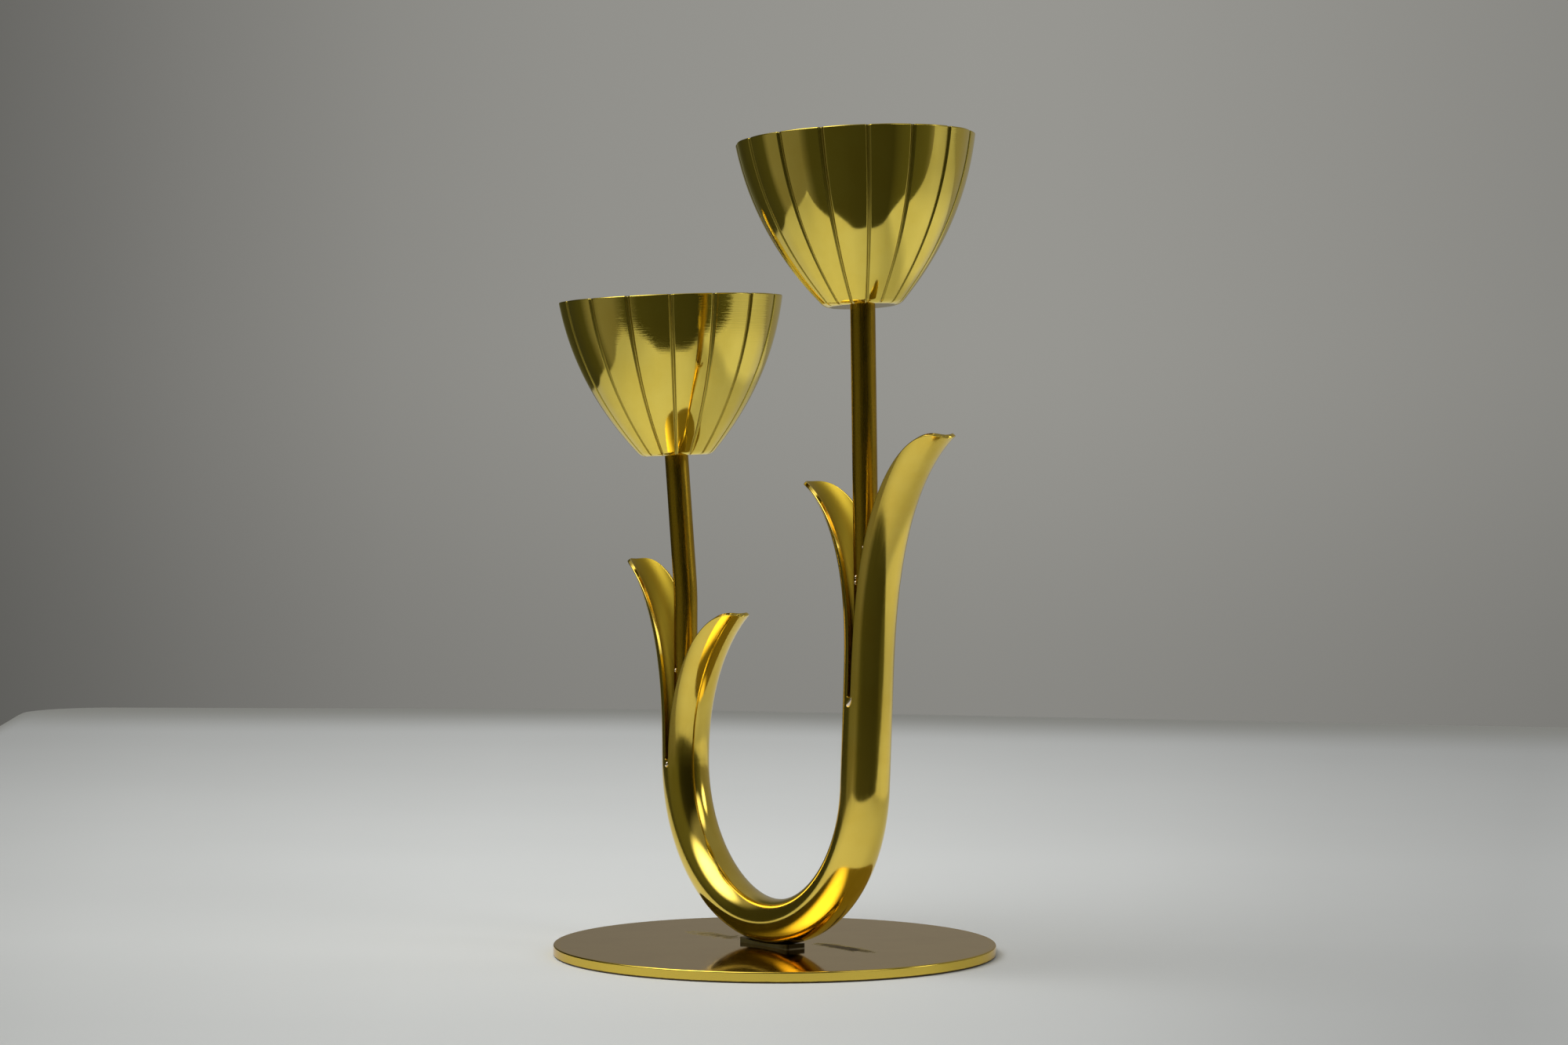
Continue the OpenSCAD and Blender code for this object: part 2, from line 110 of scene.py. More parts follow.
class Shell:
    """Grids of points with exact normals, lay coordinates for the finish, how dull and how stained
    it is there, from 0 to 1, where both also paint shade in places, and the strength of its fine lines"""

    def __init__(self):
        self.points, self.normals, self.lay, self.finish, self.quads = [], [], [], [], []
        self.count = 0

    def grid(self, points, normals, lay, dull=0.0, lines=1.0, stain_and_shade=0.0, wrap=False):
        rows, cols = points.shape[:2]
        number = self.count + np.arange(rows * cols).reshape(rows, cols)
        if wrap:
            number = np.concatenate([number, number[:, :1]], axis=1)
        a, b = number[:-1, :-1].ravel(), number[1:, :-1].ravel()
        c, d = number[1:, 1:].ravel(), number[:-1, 1:].ravel()
        flat, ways = points.reshape(-1, 3), normals.reshape(-1, 3)
        i = self.count
        turn = np.cross(flat[c - i] - flat[a - i], flat[d - i] - flat[b - i])
        if (turn * (ways[a - i] + ways[c - i])).sum() < 0:
            b, d = d, b
        self.points.append(flat)
        self.normals.append(unit(ways))
        self.lay.append(np.broadcast_to(lay, points.shape).reshape(-1, 3))
        finish = [np.broadcast_to(v, (rows, cols)).ravel() for v in (dull, lines, stain_and_shade)]
        self.finish.append(np.stack(finish, axis=1))
        self.quads.append(np.stack([a, b, c, d], axis=1))
        self.count += rows * cols

    def build(self, name, node, material, place=None):
        kinds = (self.points, self.normals, self.lay, self.finish, self.quads)
        points, normals, lay, finish, quads = [np.concatenate(kind) for kind in kinds]
        if place is not None:
            points = points @ place[0].T + place[1]
            normals = normals @ place[0].T
        _, first, same = np.unique(np.round(points / SAME_POINT).astype(np.int64), axis=0,
                                   return_index=True, return_inverse=True)
        same = same.reshape(-1)
        faces, corners = [], []
        for quad in quads.tolist():
            ring, kept = [], []
            for k in quad:
                v = int(same[k])
                if v not in ring:
                    ring.append(v)
                    kept.append(k)
            if len(ring) > 2:
                faces.append(ring)
                corners.extend(kept)
        mesh = bpy.data.meshes.new(name)
        mesh.from_pydata((points[first] * MM).tolist(), [], faces)
        mesh.shade_smooth()
        mesh.normals_split_custom_set(normals[corners].tolist())
        for key, values in (("lay", lay), ("finish", finish)):
            store = mesh.attributes.new(key, "FLOAT_VECTOR", "POINT")
            store.data.foreach_set("vector", values[first].astype(np.float32).ravel())
        mesh.materials.append(material)
        piece = bpy.data.objects.new(name, mesh)
        bpy.context.collection.objects.link(piece)
        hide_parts(node)
        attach(piece, "root")


def arc(centre, r, start, end, steps, hollow=False):
    """Points of an arc in a half plane with their normals; a hollow arc's normals point to its centre"""
    a = np.radians(np.linspace(start, end, steps + 1))
    way = np.stack([np.cos(a), np.sin(a)], axis=1)
    return np.array(centre) + r * way, (-way if hollow else way)


def rounded(corners, steps=5):
    """Chains of points and normals along an outline, whose corners are (across, up, radius).
    The outside lies on the right of the way along it, and a corner of radius 0 starts a new chain."""
    chains, points, normals = [], [], []
    corners = [np.array(c, float) for c in corners]
    for k, corner in enumerate(corners):
        at, r = corner[:2], corner[2]
        before = unit(at - corners[k - 1][:2]) if k > 0 else None
        after = unit(corners[k + 1][:2] - at) if k + 1 < len(corners) else None
        if before is None or after is None or r == 0:
            if before is not None:
                points.append(at)
                normals.append([before[1], -before[0]])
            if before is not None and after is not None:
                chains.append((np.array(points), np.array(normals)))
                points, normals = [], []
            if after is not None:
                points.append(at)
                normals.append([after[1], -after[0]])
            continue
        turn = math.atan2(before[0] * after[1] - before[1] * after[0], before @ after)
        back = r * abs(math.tan(turn / 2))
        for i in range(steps + 1):
            a = turn * i / steps
            way = np.array([before[0] * math.cos(a) - before[1] * math.sin(a),
                            before[0] * math.sin(a) + before[1] * math.cos(a)])
            side = math.copysign(1, turn)
            middle = at - back * before + side * r * np.array([-before[1], before[0]])
            points.append(middle - side * r * np.array([-way[1], way[0]]))
            normals.append([way[1], -way[0]])
    chains.append((np.array(points), np.array(normals)))
    return chains


def full_turn(count):
    return np.linspace(0, 2 * np.pi, count, endpoint=False)


def circle(columns):
    a = full_turn(columns)
    return np.stack([np.cos(a), np.sin(a), 0 * a], axis=1)


# How far below its upper edge painted shade is at its full strength
EDGE_SHADE_FADE = 0.2


def lathe(shell, chain, columns, middle=(0.0, 0.0), dull=0.0, shade_below=-math.inf):
    """Turn a chain about an upright axis; it may be darkened with painted shade below a height"""
    points, normals = chain
    ring = circle(columns)
    place = points[:, :1, None] * ring + UP * points[:, 1:, None] + np.array([*middle, 0])
    way = normals[:, :1, None] * ring + UP * normals[:, 1:, None]
    stain_and_shade = np.clip((shade_below - points[:, 1:]) / EDGE_SHADE_FADE, 0, 1)
    shell.grid(place, way, place, dull=dull, stain_and_shade=stain_and_shade, wrap=True)


def tilted(tilt, turn):
    """Turn about Z, then X, then Y, as the CAD places a cup"""
    x, y, z = np.radians([tilt[0], tilt[1], turn])
    about_x = np.array([[1, 0, 0], [0, math.cos(x), -math.sin(x)], [0, math.sin(x), math.cos(x)]])
    about_y = np.array([[math.cos(y), 0, math.sin(y)], [0, 1, 0], [-math.sin(y), 0, math.cos(y)]])
    about_z = np.array([[math.cos(z), -math.sin(z), 0], [math.sin(z), math.cos(z), 0], [0, 0, 1]])
    return about_y @ about_x @ about_z


LEFT_CUP = (tilted(LEFT_TILT, LEFT_TURN), LEFT_SEAT)
RIGHT_CUP = (tilted(RIGHT_TILT, RIGHT_TURN), RIGHT_SEAT)


# Materials
class Nodes:
    """Short ways to add and link nodes"""

    def __init__(self, tree):
        self.tree = tree
        tree.nodes.clear()

    def add(self, kind, **values):
        node = self.tree.nodes.new("ShaderNode" + kind)
        for key, value in values.items():
            setattr(node, key, value)
        return node

    def join(self, out, into):
        self.tree.links.new(out, into)

    def put(self, value, socket):
        """Set a socket to a constant, or link it"""
        if isinstance(value, (int, float, tuple)):
            socket.default_value = value
        else:
            self.join(value, socket)

    def math(self, operation, a, b=None):
        node = self.add("Math", operation=operation)
        self.put(a, node.inputs[0])
        if b is not None:
            self.put(b, node.inputs[1])
        return node.outputs[0]

    def vector(self, operation, a, b, into=1, out=0):
        node = self.add("VectorMath", operation=operation)
        self.put(a, node.inputs[0])
        self.put(b, node.inputs[into])
        return node.outputs[out]

    def dot(self, vector, way):
        return self.vector("DOT_PRODUCT", vector, tuple(way), out="Value")

    def spread(self, value, low, high, new_low, new_high, smooth=True):
        node = self.add("MapRange", interpolation_type="SMOOTHSTEP" if smooth else "LINEAR")
        self.join(value, node.inputs["Value"])
        keys = ("From Min", "From Max", "To Min", "To Max")
        for key, number in zip(keys, (low, high, new_low, new_high)):
            node.inputs[key].default_value = number
        return node.outputs[0]

    def noise(self, vector, scale, detail=3.0, rough=0.55):
        node = self.add("TexNoise")
        node.inputs["Scale"].default_value = scale
        node.inputs["Detail"].default_value = detail
        node.inputs["Roughness"].default_value = rough
        self.join(vector, node.inputs["Vector"])
        return node.outputs["Fac"]

    def blend(self, fac, a, b):
        node = self.add("Mix", data_type="RGBA")
        for key, value in ((0, fac), (6, a), (7, b)):
            self.put(value, node.inputs[key])
        return node.outputs[2]

    def ramp(self, value, stops):
        """Colour by a value from 0 to 1, from stops of (value, colour)"""
        node = self.add("ValToRGB")
        elements = node.color_ramp.elements
        while len(elements) < len(stops):
            elements.new(0.5)
        for element, (place, colour) in zip(elements, stops):
            element.position = place
            element.color = colour + (1,)
        self.join(value, node.inputs[0])
        return node.outputs[0]

    def bump(self, height, distance, strength=1.0):
        node = self.add("Bump")
        node.inputs["Strength"].default_value = strength
        self.put(distance, node.inputs["Distance"])
        self.join(height, node.inputs["Height"])
        return node


def new_material(name):
    """A material with its nodes and its shader, which is linked to the output"""
    material = bpy.data.materials.new(name)
    material.use_nodes = True
    n = Nodes(material.node_tree)
    shader = n.add("BsdfPrincipled")
    n.join(shader.outputs[0], n.add("OutputMaterial").inputs["Surface"])
    return material, n, shader


# Burnt marks are a dark crust, which isn't metal and is rougher; painted shade and shadow on the base plate
# take the same colour
STAIN_AND_SHADE, STAIN_AND_SHADE_ROUGH = (0.07, 0.045, 0.010), 0.60
# Scales of the noise in 1/mm, its detail and roughness where it is fine, and the spans that are used of it
CLOUD_SCALE, WAVE_SCALE, STAIN_AND_SHADE_SCALE, FINE = 0.09, 0.22, 0.45, (4.0, 0.6)
CLOUD_SPAN, GLOSS_SPAN, STAIN_AND_SHADE_SPAN = (0.35, 0.72), (0.36, 0.66), (0.70, 1.30)


def metal(name, light, deep, rough, streaks, hair, slope, dull, edge_tint=(1.0, 1.0, 1.0), stains_and_shade=False):
    """Polished metal. light and deep are its colours, rough the lowest and highest roughness,
    streaks the scale of the polishing lines in 1/mm along each lay axis, hair and slope the
    strength of the fine lines and of the slow waves left by hand polishing, dull the colour and
    roughness where the surface is dull, which on the cup rims and the saddle paints shade,
    edge_tint what is left of the shine at a flat angle, and the last whether it has burnt marks
    and painted shade."""
    material, n, shader = new_material(name)
    lay = n.add("Attribute", attribute_name="lay").outputs["Vector"]
    finish = n.add("SeparateXYZ")
    n.join(n.add("Attribute", attribute_name="finish").outputs["Vector"], finish.inputs[0])
    dulled, strength = finish.outputs["X"], finish.outputs["Y"]
    lines = n.noise(n.vector("MULTIPLY", lay, streaks), 1.0, *FINE)
    cloud = n.noise(lay, CLOUD_SCALE, *FINE)
    waves = n.noise(lay, WAVE_SCALE, detail=1.0, rough=0.4)
    shader.inputs["Metallic"].default_value = 1.0
    shader.inputs["Specular Tint"].default_value = edge_tint + (1,)
    clean = n.blend(n.spread(cloud, *CLOUD_SPAN, 0.0, 1.0), light + (1,), deep + (1,))
    colour = n.blend(dulled, clean, dull[0] + (1,))
    mixed = n.math("ADD", n.math("MULTIPLY", lines, 0.5), n.math("MULTIPLY", cloud, 0.5))
    polished = n.spread(mixed, *GLOSS_SPAN, *rough)
    more = n.math("MULTIPLY", dulled, n.math("SUBTRACT", dull[1], polished))
    matt = n.math("ADD", polished, more)
    # Burnt marks and painted shade: dark, rough, and not metal
    if stains_and_shade:
        ragged = n.math("ADD", finish.outputs["Z"], n.noise(lay, STAIN_AND_SHADE_SCALE, *FINE))
        ragged = n.spread(ragged, *STAIN_AND_SHADE_SPAN, 0.0, 1.0)
        colour = n.blend(ragged, colour, STAIN_AND_SHADE + (1,))
        matt = n.math("ADD", matt, n.math("MULTIPLY", ragged, STAIN_AND_SHADE_ROUGH))
        n.join(n.math("SUBTRACT", 1.0, ragged), shader.inputs["Metallic"])
    n.join(colour, shader.inputs["Base Color"])
    n.join(matt, shader.inputs["Roughness"])
    hairs = n.bump(lines, n.math("MULTIPLY", strength, hair * MM))
    n.join(n.bump(waves, slope * MM).outputs[0], hairs.inputs["Normal"])
    n.join(hairs.outputs[0], shader.inputs["Normal"])
    return material


ALONG_TUBE, ROUND_AXIS = (0.10, 2.2, 2.2), (0.12, 0.12, 3.4)
ALL_WAYS, CLOUDY = (1.5, 1.5, 1.5), (0.3, 0.3, 0.3)
leaf_brass = metal("leaf_brass", (0.87, 0.645, 0.115), (0.83, 0.59, 0.09), (0.08, 0.14), ALONG_TUBE,
                   hair=0.00012, slope=0.003, dull=((0.46, 0.33, 0.03), 0.50))
cup_brass = metal("cup_brass", (0.91, 0.71, 0.13), (0.87, 0.66, 0.105), (0.05, 0.09), ROUND_AXIS,
                  hair=0.0006, slope=0.007, dull=((0.46, 0.36, 0.06), 0.36))
base_brass = metal("base_brass", (0.70, 0.53, 0.12), (0.65, 0.48, 0.10), (0.05, 0.09), CLOUDY,
                   hair=0.0002, slope=0.001, dull=((0.72, 0.53, 0.085), 0.10),
                   edge_tint=(0.86, 0.775, 0.70), stains_and_shade=True)
stem_brass = metal("stem_brass", (0.56, 0.35, 0.03), (0.46, 0.28, 0.02), (0.22, 0.32), ALONG_TUBE,
                   hair=0.0001, slope=0.002, dull=((0.40, 0.28, 0.06), 0.35), edge_tint=(0.7, 0.7, 0.7))
solder_tin = metal("solder_tin", (0.92, 0.80, 0.64), (0.80, 0.66, 0.50), (0.14, 0.24), ALL_WAYS,
                   hair=0.003, slope=0.02, dull=((0.50, 0.44, 0.32), 0.40))
# Its dull colour is nearly black and paints shade on the saddle
saddle_tin = metal("saddle_tin", (0.42, 0.41, 0.36), (0.28, 0.27, 0.23), (0.26, 0.42), ALL_WAYS,
                   hair=0.006, slope=0.02, dull=((0.05, 0.04, 0.02), 0.50))


# The leaf tube, with a slit and two leaves at each end
def along(side, lean):
    return np.stack([side * np.sin(lean), np.cos(lean)], axis=-1)


def outward(side, lean):
    return np.stack([side * np.cos(lean), -np.sin(lean)], axis=-1)


def in_space(centre, out, a, b):
    """Point of a section: a is its place along the outward line, b its place along Y"""
    flat = centre[:, None, :] + a[..., None] * out[:, None, :]
    return np.stack([FOOT_X + flat[..., 0], FOOT_Y + b, flat[..., 1]], axis=-1)


def section_way(out, a, b):
    return np.stack([a * out[:, None, 0], b, a * out[:, None, 1]], axis=-1)


TUBE_COLUMNS, EDGE_STEPS = 96, 4
BEND_STEPS, LEG_STEPS = 128, 14


def bend_path():
    """Of each ring its centre, outward line, radius in the bend's plane and across it, and run;
    and where the legs end"""
    lean = {-1: math.radians(LEFT_LEAN), 1: math.radians(RIGHT_LEAN)}
    angle = np.linspace(lean[-1] - np.pi, -lean[1], BEND_STEPS + 1)
    centre = np.stack([BEND_R * np.cos(angle), BEND_Z + BEND_R * np.sin(angle)], axis=1)
    out = np.stack([np.cos(angle), np.sin(angle)], axis=1)
    flat = np.sin(angle) ** 2 * BEND_FLAT
    rows = [centre, out, TUBE_R - flat, TUBE_R + WIDEN_SHARE * flat, BEND_R * (angle - angle[0])]
    ends = {}
    for side, leg, steps, at in ((-1, LEFT_LEG, 1, 0), (1, RIGHT_LEG, LEG_STEPS, -1)):
        length = leg * np.linspace(0, 1, steps + 1)[1:]
        far = rows[0][at] + length[:, None] * along(side, lean[side])
        ends[side] = far[-1]
        round_r = np.full(steps, TUBE_R)
        way = np.tile(outward(side, lean[side]), (steps, 1))
        more = [far, way, round_r, round_r, rows[4][at] + side * length]
        rows = [np.concatenate([m[::-1], v] if side < 0 else [v, m]) for m, v in zip(more, rows)]
    return (*rows, ends)


def half_section(span, f):
    """Closed section of a leaf, one row a station: places and normals in the section's plane.
    span is the half angle, f the radius of the rounded edges."""
    outer, inner = TUBE_R, TUBE_R - TUBE_WALL
    cut_out = np.arcsin(f / (outer - f))
    cut_in = np.arcsin(f / (inner + f))
    parts = []
    t = np.linspace(-1, 1, TUBE_COLUMNS // 2 + 1)
    angle = (span - cut_out)[:, None] * t
    parts.append((outer * np.cos(angle), outer * np.sin(angle), angle))
    ends = []
    for r_mid, start, sweep in ((outer - f, span - cut_out, np.pi / 2 + cut_out),
                                (inner + f, span + np.pi / 2, np.pi / 2 - cut_in)):
        reach = np.sqrt(np.maximum(r_mid ** 2 - f ** 2, 0))
        x = reach * np.cos(span) + f * np.sin(span)
        y = reach * np.sin(span) - f * np.cos(span)
        way = start[:, None] + sweep[:, None] * np.linspace(0, 1, EDGE_STEPS + 1)
        ends.append((x[:, None] + f[:, None] * np.cos(way), y[:, None] + f[:, None] * np.sin(way), way))
    edge = [np.concatenate([a, b], axis=1) for a, b in zip(*ends)]
    parts.append([v[:, 1:-1] for v in edge])
    angle = (span - cut_in)[:, None] * -t
    parts.append((inner * np.cos(angle), inner * np.sin(angle), angle + np.pi))
    parts.append([edge[0][:, -2:0:-1], -edge[1][:, -2:0:-1], -edge[2][:, -2:0:-1]])
    x, y, way = [np.concatenate([part[k] for part in parts], axis=1) for k in range(3)]
    bore = np.concatenate([np.full(part[0].shape[1], k == 2, float) for k, part in enumerate(parts)])
    return x, y, np.cos(way), np.sin(way), bore


# Stations along a leaf: at the slit's round end, their number on the nose, how far apart others are
# at most and at least, and how many points its curve is summed from
KERF_STEPS = (0.03, 0.08, 0.15, 0.25, 0.38, 0.5, 0.6, 0.9, 1.4)
NOSE_STATIONS, PLAIN_STEP, LEAST_STEP, CURVE_POINTS = 60, 1.5, 0.012, 4001
# Radius of the saw edges, how far from the slit's end they have it, and its most per half width
EDGE_FILLET, FILLET_GROWS, FILLET_SHARE = 0.2, 0.6, 0.45


def leaf_stations(length, nose_at, nose_power):
    """Places of a leaf's sections, as shares of its length"""
    t = np.linspace(0, 1, NOSE_STATIONS)
    nose = nose_at + (1 - nose_at) * np.sin(t * np.pi / 2) ** (2 / nose_power)
    plain = np.linspace(0, nose_at, max(2, int(nose_at * length / PLAIN_STEP)))
    way = np.unique(np.round(np.concatenate([nose, plain, np.array(KERF_STEPS) / length]), 7))
    keep = [way[0]]
    for w in way[1:]:
        if w - keep[-1] > LEAST_STEP / length:
            keep.append(w)
    keep[-1] = 1.0
    return np.array(keep)


def leaf(shell, start, run, side, bow, length, turn, power, nose_at, nose_power):
    way = leaf_stations(length, nose_at, nose_power)
    fine = np.linspace(0, 1, CURVE_POINTS)
    leg = math.radians(LEFT_LEAN if side < 0 else RIGHT_LEAN)

    def lean(w):
        return leg + bow * math.radians(turn) * w ** power

    step = along(side, lean((fine[1:] + fine[:-1]) / 2)) * length * (fine[1] - fine[0])
    track = start + np.concatenate([np.zeros((1, 2)), np.cumsum(step, axis=0)])
    centre = np.stack([np.interp(way, fine, track[:, k]) for k in range(2)], axis=1)
    out = outward(side, lean(way))
    gone = way * length
    gap = SLIT_W / 2 * np.sqrt(1 - np.clip(1 - gone / (SLIT_W / 2), 0, 1) ** 2)
    full = np.pi / 2 - np.arcsin(gap / TUBE_R)
    nose = np.clip((way - nose_at) / (1 - nose_at), 0, 1)
    span = full * np.maximum(1 - nose ** nose_power, 0) ** (1 / nose_power)
    fillet = EDGE_FILLET * np.clip(gone / FILLET_GROWS, 0, 1)
    fillet = np.minimum(fillet, span * TUBE_R * FILLET_SHARE)
    a, b, na, nb, bore = half_section(span, fillet)
    a, b, na, nb = bow * a, bow * b, bow * na, bow * nb
    place = in_space(centre, out, a, b)
    normal = section_way(out, na, nb)
    slide = unit(np.gradient(place, gone, axis=0))
    normal = unit(normal - (normal * slide).sum(axis=-1, keepdims=True) * slide)
    # The tip ends in a short flat, whose last row faces along the leaf
    tip = along(side, lean(1.0))
    normal[-1] = [tip[0], 0.0, tip[1]]
    lay = np.stack([run + side * gone[:, None] + 0 * a, a, b], axis=-1)
    shell.grid(place, normal, lay, dull=bore, wrap=True)


def make_leaf_tube():
    shell = Shell()
    centre, out, deep, wide, run, ends = bend_path()
    angle = full_turn(TUBE_COLUMNS)[None, :]
    for depth, side in ((0.0, 1), (TUBE_WALL, -1)):
        a_r, b_r = deep[:, None] - depth, wide[:, None] - depth
        a, b = a_r * np.cos(angle), b_r * np.sin(angle)
        way = unit(np.stack([np.cos(angle) / a_r, np.sin(angle) / b_r], axis=-1))
        shell.grid(in_space(centre, out, a, b), side * section_way(out, way[..., 0], way[..., 1]),
                   np.stack([run[:, None] + 0 * a, a, b], axis=-1), dull=float(side < 0), wrap=True)
    for side, bow, *rest in LEAVES.values():
        leaf(shell, ends[side], run[0] if side < 0 else run[-1], side, bow, *rest)
    shell.build("leaf_tube_skin", "leaf_tube", leaf_brass)


make_leaf_tube()


# Stems
STEM_COLUMNS, KINK_POINTS = 72, 17


def straight(start, end, count):
    return start + (end - start) * np.linspace(0, 1, count)[:, None]


def kinked():
    kink = LEFT_END + [0, 0, KINK_UP]
    lean = np.radians(np.linspace(0, KINK_LEAN, KINK_POINTS))
    bend = kink + KINK_R * np.stack([np.cos(lean) - 1, 0 * lean, np.sin(lean)], axis=1)
    low = straight(LEFT_END - [0, 0, STEM_SINK], kink, count=14)
    return np.concatenate([low[:-1], bend, straight(bend[-1], LEFT_SEAT, count=12)[1:]])


def make_stem(side, path, cup):
    """A round rod along a path, whose last ring is cut by the underside of its cup"""
    tangent = unit(np.gradient(path, axis=0))
    tangent[0], tangent[-1] = unit(path[1] - path[0]), unit(path[-1] - path[-2])
    e1 = unit(np.cross(tangent, [1.0, 0, 0]))
    e2 = np.cross(tangent, e1)
    a = full_turn(STEM_COLUMNS)
    way = np.cos(a)[None, :, None] * e1[:, None] + np.sin(a)[None, :, None] * e2[:, None]
    place = path[:, None] + STEM_R * way
    up = cup[0] @ UP
    lift = ((cup[1] - place[-1]) @ up) / (tangent[-1] @ up)
    place[-1] = place[-1] + lift[:, None] * tangent[-1]
    run = np.concatenate([[0], np.cumsum(np.linalg.norm(np.diff(path, axis=0), axis=1))])
    lay = np.stack(np.broadcast_arrays(run[:, None], STEM_R * np.cos(a), STEM_R * np.sin(a)), axis=-1)
    shell = Shell()
    shell.grid(place, way, lay, wrap=True)
    for k, normal in ((0, -tangent[0]), (-1, up)):
        end = np.stack([place[k], np.broadcast_to(path[k], place[k].shape)])
        end_lay = np.stack([lay[k], lay[k] * [1, 0, 0]])
        shell.grid(end, np.broadcast_to(normal, end.shape), end_lay, wrap=True)
    shell.build(side + "_rod", side + "_stem", stem_brass)


make_stem("left", kinked(), LEFT_CUP)
make_stem("right", straight(RIGHT_END - [0, 0, STEM_SINK], RIGHT_SEAT, count=30), RIGHT_CUP)


# Flower cups. The side's outline is an arc, whose circle comes first.
CHORD = math.hypot(CUP_RIM_R - CUP_FOOT_R, CUP_H)
ARC_R = (CHORD ** 2 / 4 + CUP_BULGE ** 2) / (2 * CUP_BULGE)
ARC_X = (CUP_RIM_R + CUP_FOOT_R) / 2 - (ARC_R - CUP_BULGE) * CUP_H / CHORD
ARC_Z = CUP_H / 2 + (ARC_R - CUP_BULGE) * (CUP_RIM_R - CUP_FOOT_R) / CHORD
FOOT_ROUND, RIM_ROUND, FLOOR_ROUND = 3.0, 0.3, 1.6
# Depth and half width of a groove at the foot and the rim, and how they change on the inner side
GROOVE_DEPTH, GROOVE_HALF = (0.26, 0.45), (0.44, 0.82)
RIDGE_SHARE, RIDGE_WIDEN = 0.45, 1.8
FLARE_FROM, FLARE_SLOPE = 31.0, 0.083
PLUMP = 0.22
LEFT_WAVE, RIGHT_WAVE = (14.0, 31.0, -0.022), (6.0, 30.0, 0.040)
PETAL_SLOPE, PETAL_ROUND, PETAL_LIFT = 0.05, 0.25, 0.45
# Height over which a petal's fold grows
PETAL_FOOT = 4.0
# How dull the rim is, painted shade over the lamp's highlight on its rounding, and how the dullness fades
# to a groove's edges and is worn off along its middle
RIM_SHADE, GROOVE_TARNISH, TARNISH_FADE, WORN, WORN_HALF = 0.45, 1.3, 0.35, 0.6, 0.17
# Strength of the fine lines at each rim, where they begin and how fast they grow, as shares of the height
LEFT_RIM_LINES, RIGHT_RIM_LINES = 26.0, 4.0
LINES_FROM, LINES_GROW = 0.6, 0.22
FLAT_STEPS, FOOT_STEPS, SIDE_STEPS, RIM_STEPS, INNER_STEPS = 6, 8, 72, 5, 40
# Depth of the grooves on top of the rim, as a share of their depth on the side
RIM_SHARE = 0.25
# Columns over a groove, how far they reach as a share of its half width, and columns beside it
GROOVE_COLUMNS, GROOVE_REACH, WALL_COLUMNS = 21, 1.2, 18


def on_arc(r, z):
    """Distance from the axis of the point at height z on the circle of radius r about the side's centre"""
    return ARC_X + math.sqrt(r ** 2 - (z - ARC_Z) ** 2)


def heading(x, z):
    return math.degrees(math.atan2(z - ARC_Z, x - ARC_X))


def cup_outline(wave):
    """The cup's whole outline: points, normals, and how deep and wide its grooves are there.
    A depth below 0 is a ridge, on the inner side."""
    inner_r = ARC_R - CUP_WALL
    foot = (on_arc(ARC_R - FOOT_ROUND, FOOT_ROUND), FOOT_ROUND)
    rim = (on_arc(ARC_R - RIM_ROUND, CUP_H - RIM_ROUND), CUP_H - RIM_ROUND)
    lip = (on_arc(inner_r + RIM_ROUND, CUP_H - RIM_ROUND), CUP_H - RIM_ROUND)
    floor = (on_arc(inner_r - FLOOR_ROUND, CUP_FLOOR + FLOOR_ROUND), CUP_FLOOR + FLOOR_ROUND)
    a_foot, a_rim, a_lip, a_floor = heading(*foot), heading(*rim), heading(*lip), heading(*floor)
    side = (ARC_X, ARC_Z)
    flat = np.linspace(SCREW_HOLE, foot[0], FLAT_STEPS)[:-1]
    rows = [(np.stack([flat, 0 * flat], axis=1), np.tile([0.0, -1.0], (len(flat), 1)), 0 * flat)]

    def bend(centre, r, start, end, steps, low, high, stop=-1, hollow=False):
        """Add an arc, up to its point stop; the depth of its grooves runs from low to high"""
        p, w = arc(centre, r, start, end, steps, hollow)
        rows.append((p[:stop], w[:stop], np.linspace(low, high, steps + 1)[:stop]))

    bend(foot, FOOT_ROUND, -90, a_foot, FOOT_STEPS, 0, 1)
    bend(side, ARC_R, a_foot, a_rim, SIDE_STEPS, 1, 1)
    bend(rim, RIM_ROUND, a_rim, 90, RIM_STEPS, 1, RIM_SHARE, stop=None)
    bend(lip, RIM_ROUND, 90, a_lip + 180, RIM_STEPS, RIM_SHARE, -RIDGE_SHARE)
    bend(side, inner_r, a_lip, a_floor, INNER_STEPS, -RIDGE_SHARE, -RIDGE_SHARE, hollow=True)
    bend(floor, FLOOR_ROUND, a_floor, -90, FOOT_STEPS, -RIDGE_SHARE, 0, hollow=True)
    flat = np.linspace(floor[0], SCREW_HOLE, FLAT_STEPS)
    place = np.stack([flat, 0 * flat + CUP_FLOOR], axis=1)
    rows.append((place, np.tile([0.0, 1.0], (len(flat), 1)), 0 * flat))
    points, normals, share = [np.concatenate([row[k] for row in rows]) for k in range(3)]
    return flared(points, normals, *wave) + (share,)


def flared(points, normals, low, high, wave):
    """The side is a little plumper than its arc, opens towards the rim, and has a slow wave of slope
    between low and high, left by its polishing. The last two turn only the normals."""
    up = points[:, 1] / CUP_H
    moved = points + np.stack([PLUMP * np.sin(np.pi * up), 0 * up], axis=1)
    slope = FLARE_SLOPE * np.clip((points[:, 1] - FLARE_FROM) / (CUP_H - FLARE_FROM), 0, 1) ** 2
    slope = slope + wave * np.sin(np.pi * np.clip((points[:, 1] - low) / (high - low), 0, 1)) ** 2
    slope = slope + PLUMP * np.pi / CUP_H * np.cos(np.pi * up)
    return moved, unit(np.stack([normals[:, 0], normals[:, 1] - slope * normals[:, 0]], axis=1))


